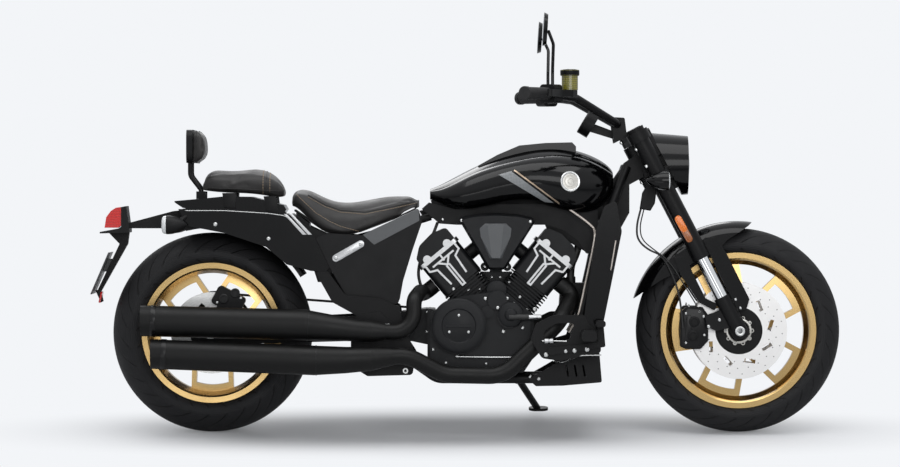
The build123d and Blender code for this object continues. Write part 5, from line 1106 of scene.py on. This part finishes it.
class CRUISER_OT_engine_trim(bpy.types.Operator):
    """Clutch cover rings, pump cap with its stub and spigot, oil line, facets of the air cleaner."""
    bl_idname = "cruiser.engine_trim"
    bl_label = "Engine trim"

    def execute(self, context):
        cases = tree_of(["engine_covers", "crankcase", "cylinders", "frame_cradle"])
        rings, bright = bmesh.new(), bmesh.new()
        at = lathe_on(rings, cases, *CLUTCH, [(0.0, 3.0), (45.0, 3.0), (48.0, 1.6), (51.0, 1.6), (54.0, 4.4),
                                              (72.0, 4.4), (80.0, 2.4), (85.0, -0.5), (85.0, -4.0)], 64)
        side_plate(rings, stadium(-90.0, 337.0, -16.0, 337.0, 3.2), at.y - 2.8, 2.4, 0.8)
        for x, z in ((-52, 372), (-82, 320), (-22, 320)):
            bolt(bright, (x, at.y - 3.0, z), TO_RIGHT, 5.0, 3.0)
        pump = lathe_on(rings, cases, *PUMP, [(0.0, 14.0), (14.0, 14.0), (18.0, 12.0), (20.0, 8.0),
                                              (33.0, 7.0), (38.0, 4.0), (40.0, -4.0)], 48)
        lathe_on(rings, cases, *FILLER, [(0.0, 4.0), (26.0, 4.0), (31.0, 2.0), (33.0, -4.0)], 48)
        keep_piece("engine_cover_rings", rings, "engine")
        keep_piece("clutch_cover_screws", bright, "zinc")
        y = pump.y - 7.0
        tube("coolant_stub", [(104, y, 366), (135, y, 366), (166, y, 366)], 10.0, "hose", straight=True)
        tube("coolant_spigot", [(158, y, 366), (180, y, 366), (204, y, 366)], 8.0, "alloy", straight=True)
        tube("oil_line", [(-62, at.y + 14, 243), (40, at.y + 14, 241), (124, at.y + 14, 241)], 2.4,
             "zinc", straight=True)

        shield = tree_of(["air_cleaner"])
        deep, _ = touch(shield, *CLEANER_MIDDLE)
        bm = bmesh.new()
        verts = [bm.verts.new((x, deep.y + 3.0, z)) for x, z in CLEANER_LOW]
        verts += [bm.verts.new((x, deep.y - 9.0, z)) for x, z in CLEANER_HIGH]
        bmesh.ops.convex_hull(bm, input=verts)
        bmesh.ops.recalc_face_normals(bm, faces=bm.faces)
        keep_piece("air_cleaner_facets", bm, "grey panel", smooth=False, bevel=1.2)
        return {"FINISHED"}


class CRUISER_OT_side_trim(bpy.types.Operator):
    """Inserts, seat brackets, bright strips and capsule plates of the side covers and tail, and a bright line on
    the tail panels' top edges that is a painted highlight.
    """
    bl_idname = "cruiser.side_trim"
    bl_label = "Side trim"

    def execute(self, context):
        keep_piece("side_cover_inserts", cutting("side_covers", SIDE_STRIP, lift=0.6), "grey panel")
        keep_piece("tail_inserts", cutting("tail_panels", TAIL_STRIP, lift=0.5), "grey panel")
        panels = tree_of(["tail_panels", "side_covers", "tail_cowl"])
        bar, screws = bmesh.new(), bmesh.new()
        brackets, strips = bmesh.new(), bmesh.new()
        for side in (RIGHT, LEFT):
            for outline in SEAT_BRACKETS:
                x, z = outline[2]
                at, _ = touch(panels, x, z + 4.0, side)
                side_plate(brackets, outline, at.y + side * 0.4, 4.0, 1.0)
            low, _ = touch(panels, -600.0, 655.0, side)
            for shift in (0.0, 17.0):
                side_plate(strips, [(-598 + shift, 687), (-589 + shift, 687), (-526 + shift, 622),
                                    (-539 + shift, 622)], low.y - side * 0.5, 2.4, 0.6)
        keep_piece("seat_brackets", brackets, "satin")
        keep_piece("tail_bright_strips", strips, "alloy")
        for side in (RIGHT, LEFT):
            spots = [touch(panels, x, z, side)[0] for x, z in CAPSULE]
            deep = max(spot.y * side for spot in spots if spot is not None) * side
            side_plate(bar, stadium(*CAPSULE[0], *CAPSULE[1], 11.5), deep - side * 1.5, 4.0, 1.2)
            for x, z in CAPSULE:
                bolt(screws, (x, deep + side * 2.5, z), (0.0, side, 0.0), 6.0, 2.4)
        keep_piece("side_capsules", bar, "alloy")
        keep_piece("side_capsule_screws", screws, "zinc")
        # a thin bright tube along each tail panel's top edge: a painted highlight
        for word, side in (("right", RIGHT), ("left", LEFT)):
            points = []
            for x, z in resample(TAIL_EDGE_HIGHLIGHT, 18.0):
                at, normal = touch(panels, x, z, side)
                if at is not None:
                    points.append(tuple(at + normal * 0.4))
            tube(f"tail_edge_highlight_{word}", points, 1.3, "zinc")
        return {"FINISHED"}


class CRUISER_OT_frame_line(bpy.types.Operator):
    """Pale edge trim down the radiator shrouds."""
    bl_idname = "cruiser.frame_line"
    bl_label = "Shroud line"

    def execute(self, context):
        tree = tree_of(["radiator_shrouds", "frame_cradle", "air_box"])
        for word, side in (("right", RIGHT), ("left", LEFT)):
            points, last = [], side * 100.0
            for x, z in SHROUD_LINE:
                at, _ = touch(tree, x, z, side)
                # nearer the middle than this, the line has gone past the shroud
                last = at.y if at is not None and abs(at.y) > SHROUD_INSIDE else last
                points.append((x, last + side * 1.5, z))
            tube(f"shroud_line_{word}", points, 3.4, "pearl line")
            points = []
            for x, z in SHROUD_EDGE:
                at, _ = touch(tree, x - 9.0, z, side)
                points.append((x, (at.y + side * 2.0 if at is not None else last), z))
            tube(f"shroud_edge_{word}", points, 2.2, "pearl line")
        return {"FINISHED"}


class CRUISER_OT_exhaust_trim(bpy.types.Operator):
    """Seam rings and end bands of the silencers."""
    bl_idname = "cruiser.exhaust_trim"
    bl_label = "Exhaust trim"

    def execute(self, context):
        for name, rows in (("exhaust_upper", UPPER_RINGS), ("exhaust_lower", LOWER_RINGS)):
            bm = bmesh.new()
            for (x, y, z), axis, radius, wide in rows:
                lathe(bm, [(radius - 1.0, -wide / 2), (radius + 1.1, -wide / 2),
                           (radius + 1.5, -wide / 2 + 0.8), (radius + 1.5, wide / 2 - 0.8),
                           (radius + 1.1, wide / 2), (radius - 1.0, wide / 2)], facing((x, y, z), axis), 64)
            keep_piece(name + "_rings", bm, "heat shield")
        return {"FINISHED"}


class CRUISER_OT_hoses(bpy.types.Operator):
    """Front brake hose and the wheel sensor's lead."""
    bl_idname = "cruiser.hoses"
    bl_label = "Hoses"

    def execute(self, context):
        hose("brake_hose", BRAKE_HOSE, 3.2, "steering")
        hose("sensor_lead", SENSOR_LEAD, 2.0, "steering")
        return {"FINISHED"}


class CRUISER_OT_calipers(bpy.types.Operator):
    """Cast faces, piston caps, bridge bolts and bleed screws of the front brake calipers."""
    bl_idname = "cruiser.calipers"
    bl_label = "Calipers"

    def execute(self, context):
        tree = tree_of(["front_calipers"])
        cast, caps, bright = bmesh.new(), bmesh.new(), bmesh.new()
        for side in (RIGHT, LEFT):
            out = (0.0, side, 0.0)
            at, _ = touch(tree, 684.0, 330.0, side)
            side_plate(cast, CALIPER_FACE, at.y - side, 5.0, 2.2)
            side_plate(cast, stadium(664, 296, 668, 362, 9.0), at.y + side * 3.0, 5.0, 2.0)
            for x, z, radius in CALIPER_PISTONS:
                lathe(caps, [(0.0, 7.0), (radius * 0.55, 7.0), (radius * 0.62, 8.4), (radius * 0.9, 8.4),
                             (radius, 7.0), (radius, 2.0)], facing((x, at.y + side * 1.5, z), out), 32)
            for x, z, radius in CALIPER_BOLTS:
                bolt(bright, (x, at.y + side * 4.0, z), out, radius, 3.0)
            lathe(bright, [(0.0, 9.0), (2.0, 9.0), (2.4, 7.0), (2.4, 3.0), (3.6, 3.0), (3.6, -2.0)],
                  facing((668.0, at.y - side * 8.0, 396.0), UP), 12)
        keep_piece("caliper_faces", cast, "heat shield", "steering")
        keep_piece("caliper_piston_caps", caps, "satin", "steering")
        keep_piece("caliper_bolts", bright, "zinc", "steering")
        return {"FINISHED"}


class CRUISER_OT_bay(bpy.types.Operator):
    """What fills the engine bay: loom tray, gussets, throttle body, coolant tank and hose, loom."""
    bl_idname = "cruiser.bay"
    bl_label = "Engine bay"

    def execute(self, context):
        tray, throttle, bright = bmesh.new(), bmesh.new(), bmesh.new()
        for y in (-44.0, 44.0):
            for outline in LOOM_TRAY:
                side_plate(tray, outline, y, 4.0, 1.0)
        for y in (-60.0, 60.0):
            side_plate(tray, GUSSET, y, 4.0, 1.5)
        keep_piece("loom_tray", tray, "plastic")
        for outline, half in THROTTLE_PLATES:
            middle_plate(throttle, outline, half, 3.0)
        for x, z in ((30, 520), (100, 520)):
            lathe(throttle, [(0.0, 0.0), (13.0, 0.0), (13.0, 96.0), (10.0, 100.0), (0.0, 100.0)],
                  facing((x, 50.0, z), TO_RIGHT))
            bolt(bright, (x, -50.0, z), TO_RIGHT, 5.5, 3.5)
        for x, z in ((52, 488), (78, 488), (65, 476)):
            bolt(bright, (x, -52.0, z), TO_RIGHT, 4.5, 3.0)
        keep_piece("throttle_body", throttle, "engine")
        tank = bmesh.new()
        middle_plate(tank, COOLANT_TANK, 50.0, 6.0)
        lathe(tank, [(0.0, 20.0), (13.0, 20.0), (15.0, 17.0), (15.0, 0.0)], facing((300.0, -20.0, 470.0), UP))
        keep_piece("coolant_tank", tank, "plastic")
        tube("coolant_hose", COOLANT_HOSE, 12.0, "hose")
        hose("engine_loom", ENGINE_LOOM, 5.0, "frame")
        keep_piece("throttle_screws", bright, "zinc")
        return {"FINISHED"}


class CRUISER_OT_foot_trim(bpy.types.Operator):
    """Brake rod and clevis, foot plate edge, rear caliper's caps and bolts, ringed bolts."""
    bl_idname = "cruiser.foot_trim"
    bl_label = "Foot and rear brake trim"

    def execute(self, context):
        tree = tree_of(["foot_controls", "belly_fairing", "frame_cradle"])
        at, _ = touch(tree, 262.0, 262.0)
        y = at.y + 4.0
        tube("brake_rod", [(206, y, 294), (250, y, 294), (282, y, 293)], 2.2, "zinc", straight=True)
        eye, caps, bright = bmesh.new(), bmesh.new(), bmesh.new()
        lathe(eye, [(0.0, 0.0), (6.0, 0.0), (8.0, 2.0), (8.0, 12.0), (6.4, 13.0), (6.4, 17.0), (8.0, 18.0),
                    (8.0, 27.0), (6.0, 29.0), (0.0, 29.0)], facing((212.0, y, 294.0), AHEAD))
        keep_piece("brake_rod_clevis", eye, "alloy")
        points, last = [], y
        for x, z in FOOT_EDGE:
            hit, _ = touch(tree, x, z)
            last = hit.y if hit is not None else last
            points.append((x, last - 1.0, z))
        tube("foot_plate_edge", points, 2.2, "zinc")
        rear = tree_of(["rear_caliper"])
        for x, z, radius in ((-786.0, 422.0, 15.0), (-750.0, 440.0, 15.0)):
            at, _ = touch(rear, x, z)
            if at is not None:
                lathe(caps, [(0.0, 3.0), (8.0, 3.0), (9.0, 4.4), (13.4, 4.4), (radius, 3.0), (radius, -1.0)],
                      facing(at, TO_RIGHT), 32)
        for x, z in ((-806.0, 410.0), (-768.0, 452.0), (-732.0, 424.0)):
            at, _ = touch(rear, x, z)
            if at is not None:
                bolt(bright, at, TO_RIGHT, 4.5, 3.0)
        keep_piece("rear_caliper_caps", caps, "heat shield")
        keep_piece("rear_caliper_bolts", bright, "zinc")
        # ringed bolts of the pivot plate: a wide bright washer with a dark socket
        plates = tree_of(["pivot_plates", "side_covers", "frame_cradle", "swingarm"])
        rings = bmesh.new()
        for x, z in RINGED_BOLTS:
            at, _ = touch(plates, x, z)
            if at is not None:
                lathe(rings, [(3.6, 1.0), (4.4, 3.4), (8.4, 3.4), (9.4, 1.6), (9.4, -1.0)],
                      facing(at, TO_RIGHT))
        keep_piece("ringed_bolts", rings, "zinc")
        return {"FINISHED"}


class CRUISER_OT_controls(bpy.types.Operator):
    """Reservoir cap, mirror glass, dial face, headlight stay and the hoses' bracket."""
    bl_idname = "cruiser.controls"
    bl_label = "Controls"

    def execute(self, context):
        cap, screws = bmesh.new(), bmesh.new()
        lathe(cap, [(0.0, 19.0), (20.0, 19.0), (22.0, 17.4), (27.0, 17.4), (29.6, 15.0), (29.6, 2.0),
                    (28.6, 0.4), (28.6, -1.0)], facing(RESERVOIR, UP), 40)
        for k in range(3):
            a = 2.0 * math.pi * k / 3
            at = Vector(RESERVOIR) + Vector((13.0 * math.cos(a), 13.0 * math.sin(a), 19.0))
            bolt(screws, at, UP, 3.0, 1.6)
        keep_piece("reservoir_cap", cap, "satin", "steering")
        keep_piece("reservoir_screws", screws, "zinc", "steering")
        glass = bmesh.new()
        back = Vector((-1.0, 0.0, 0.06)).normalized()
        for side in (RIGHT, LEFT):
            lathe(glass, [(0.0, 0.5), (46.0, 0.5), (47.5, -0.4)],
                  facing(mirrored(MIRROR, side) + back * 12.0, back), 48)
        keep_piece("mirror_glass", glass, "mirror", "steering")
        up = Vector((-0.853, 0.0, 0.52)).normalized()
        dial, rim = bmesh.new(), bmesh.new()
        place = facing(Vector(DIAL) + up * 34.0, up)
        lathe(dial, [(0.0, 0.5), (37.0, 0.5), (37.6, -0.5)], place, 48)
        lathe(rim, [(37.0, -0.5), (37.0, 1.4), (39.0, 2.2), (42.0, 1.6), (43.4, -0.4),
                    (43.4, -4.0)], place, 48)
        keep_piece("dial_glass", dial, "dark glass", "steering")
        keep_piece("dial_bezel", rim, "satin", "steering")
        # headlight stay: two ears with a bridge, between the legs and the shell
        stay = bmesh.new()
        for low, high, half in ((520.0, 566.0, 92.0), (600.0, 690.0, 74.0), (486.0, 694.0, 62.0)):
            corners = [FRONT_AXLE + FORK_UP * s + FORK_AHEAD * f + Vector((0.0, y, 0.0))
                       for s in (low, high) for f in (20.0, 42.0) for y in (-half, half)]
            verts = [stay.verts.new(c) for c in corners]
            bmesh.ops.convex_hull(stay, input=verts)
        bmesh.ops.recalc_face_normals(stay, faces=stay.faces)
        keep_piece("headlight_stay", stay, "satin", "steering", smooth=False, bevel=3.0)
        clip = bmesh.new()
        side_plate(clip, HOSE_BRACKET, HOSE_BRACKET_Y, HOSE_BRACKET_WIDE, 3)
        keep_piece("hose_bracket", clip, "satin", "steering", smooth=False, bevel=2.0)
        return {"FINISHED"}


class CRUISER_OT_valves(bpy.types.Operator):
    """Tyre valves and the bright ring round the front axle."""
    bl_idname = "cruiser.valves"
    bl_label = "Valves and axle ring"

    def execute(self, context):
        for body, name, centre, turn, rim in (("front_wheel", "front_valve", FRONT_AXLE, 1.0, 212.0),
                                              ("rear_wheel", "rear_valve", REAR_AXLE, 100.0, 190.0)):
            bm = bmesh.new()
            a = math.radians(turn)
            out = Vector((math.cos(a), 0.0, math.sin(a)))
            lathe(bm, [(0.0, 0.0), (2.4, 0.0), (2.4, 14.0), (3.4, 15.0), (3.4, 24.0), (4.6, 30.0),
                       (4.6, 40.0)], facing(centre + out * rim, out), 16)
            keep_piece(name, bm, "grip", body)
        bm = bmesh.new()
        lathe(bm, [(8.4, -2.0), (8.4, 3.0), (11.0, 3.4), (15.0, 3.0), (15.6, 0.0), (15.6, -3.0)],
              facing(FRONT_AXLE + Vector((0.0, -AXLE_END, 0.0)), TO_RIGHT), 32)
        keep_piece("front_axle_ring", bm, "zinc", "steering")
        return {"FINISHED"}


OPERATORS = [CRUISER_OT_finishes, CRUISER_OT_stage, CRUISER_OT_seats, CRUISER_OT_tank_trim, CRUISER_OT_screws,
             CRUISER_OT_discs, CRUISER_OT_lights, CRUISER_OT_engine_trim, CRUISER_OT_side_trim,
             CRUISER_OT_frame_line, CRUISER_OT_exhaust_trim, CRUISER_OT_hoses, CRUISER_OT_calipers,
             CRUISER_OT_bay, CRUISER_OT_foot_trim, CRUISER_OT_controls, CRUISER_OT_valves]


class CRUISER_PT_panel(bpy.types.Panel):
    """Lists the motorcycle's pieces."""
    bl_idname = "CRUISER_PT_panel"
    bl_label = "Cruiser"
    bl_space_type = "VIEW_3D"
    bl_region_type = "UI"
    bl_category = "Cruiser"

    def draw(self, context):
        for group in (context.scene.cruiser_tones, context.scene.cruiser_sizes):
            for key in group.__annotations__:
                self.layout.prop(group, key)
        for operator in OPERATORS:
            self.layout.operator(operator.bl_idname)


CLASSES = [CruiserTones, CruiserSizes, *OPERATORS, CRUISER_PT_panel]


def register():
    for cls in CLASSES:
        bpy.utils.register_class(cls)
    bpy.types.Scene.cruiser_tones = bpy.props.PointerProperty(type=CruiserTones)
    bpy.types.Scene.cruiser_sizes = bpy.props.PointerProperty(type=CruiserSizes)


def unregister():
    del bpy.types.Scene.cruiser_tones
    del bpy.types.Scene.cruiser_sizes
    for cls in reversed(CLASSES):
        bpy.utils.unregister_class(cls)


def main():
    register()
    for operator in OPERATORS:
        group, name = operator.bl_idname.split(".")
        getattr(getattr(bpy.ops, group), name)()


if __name__ == "__main__":
    main()
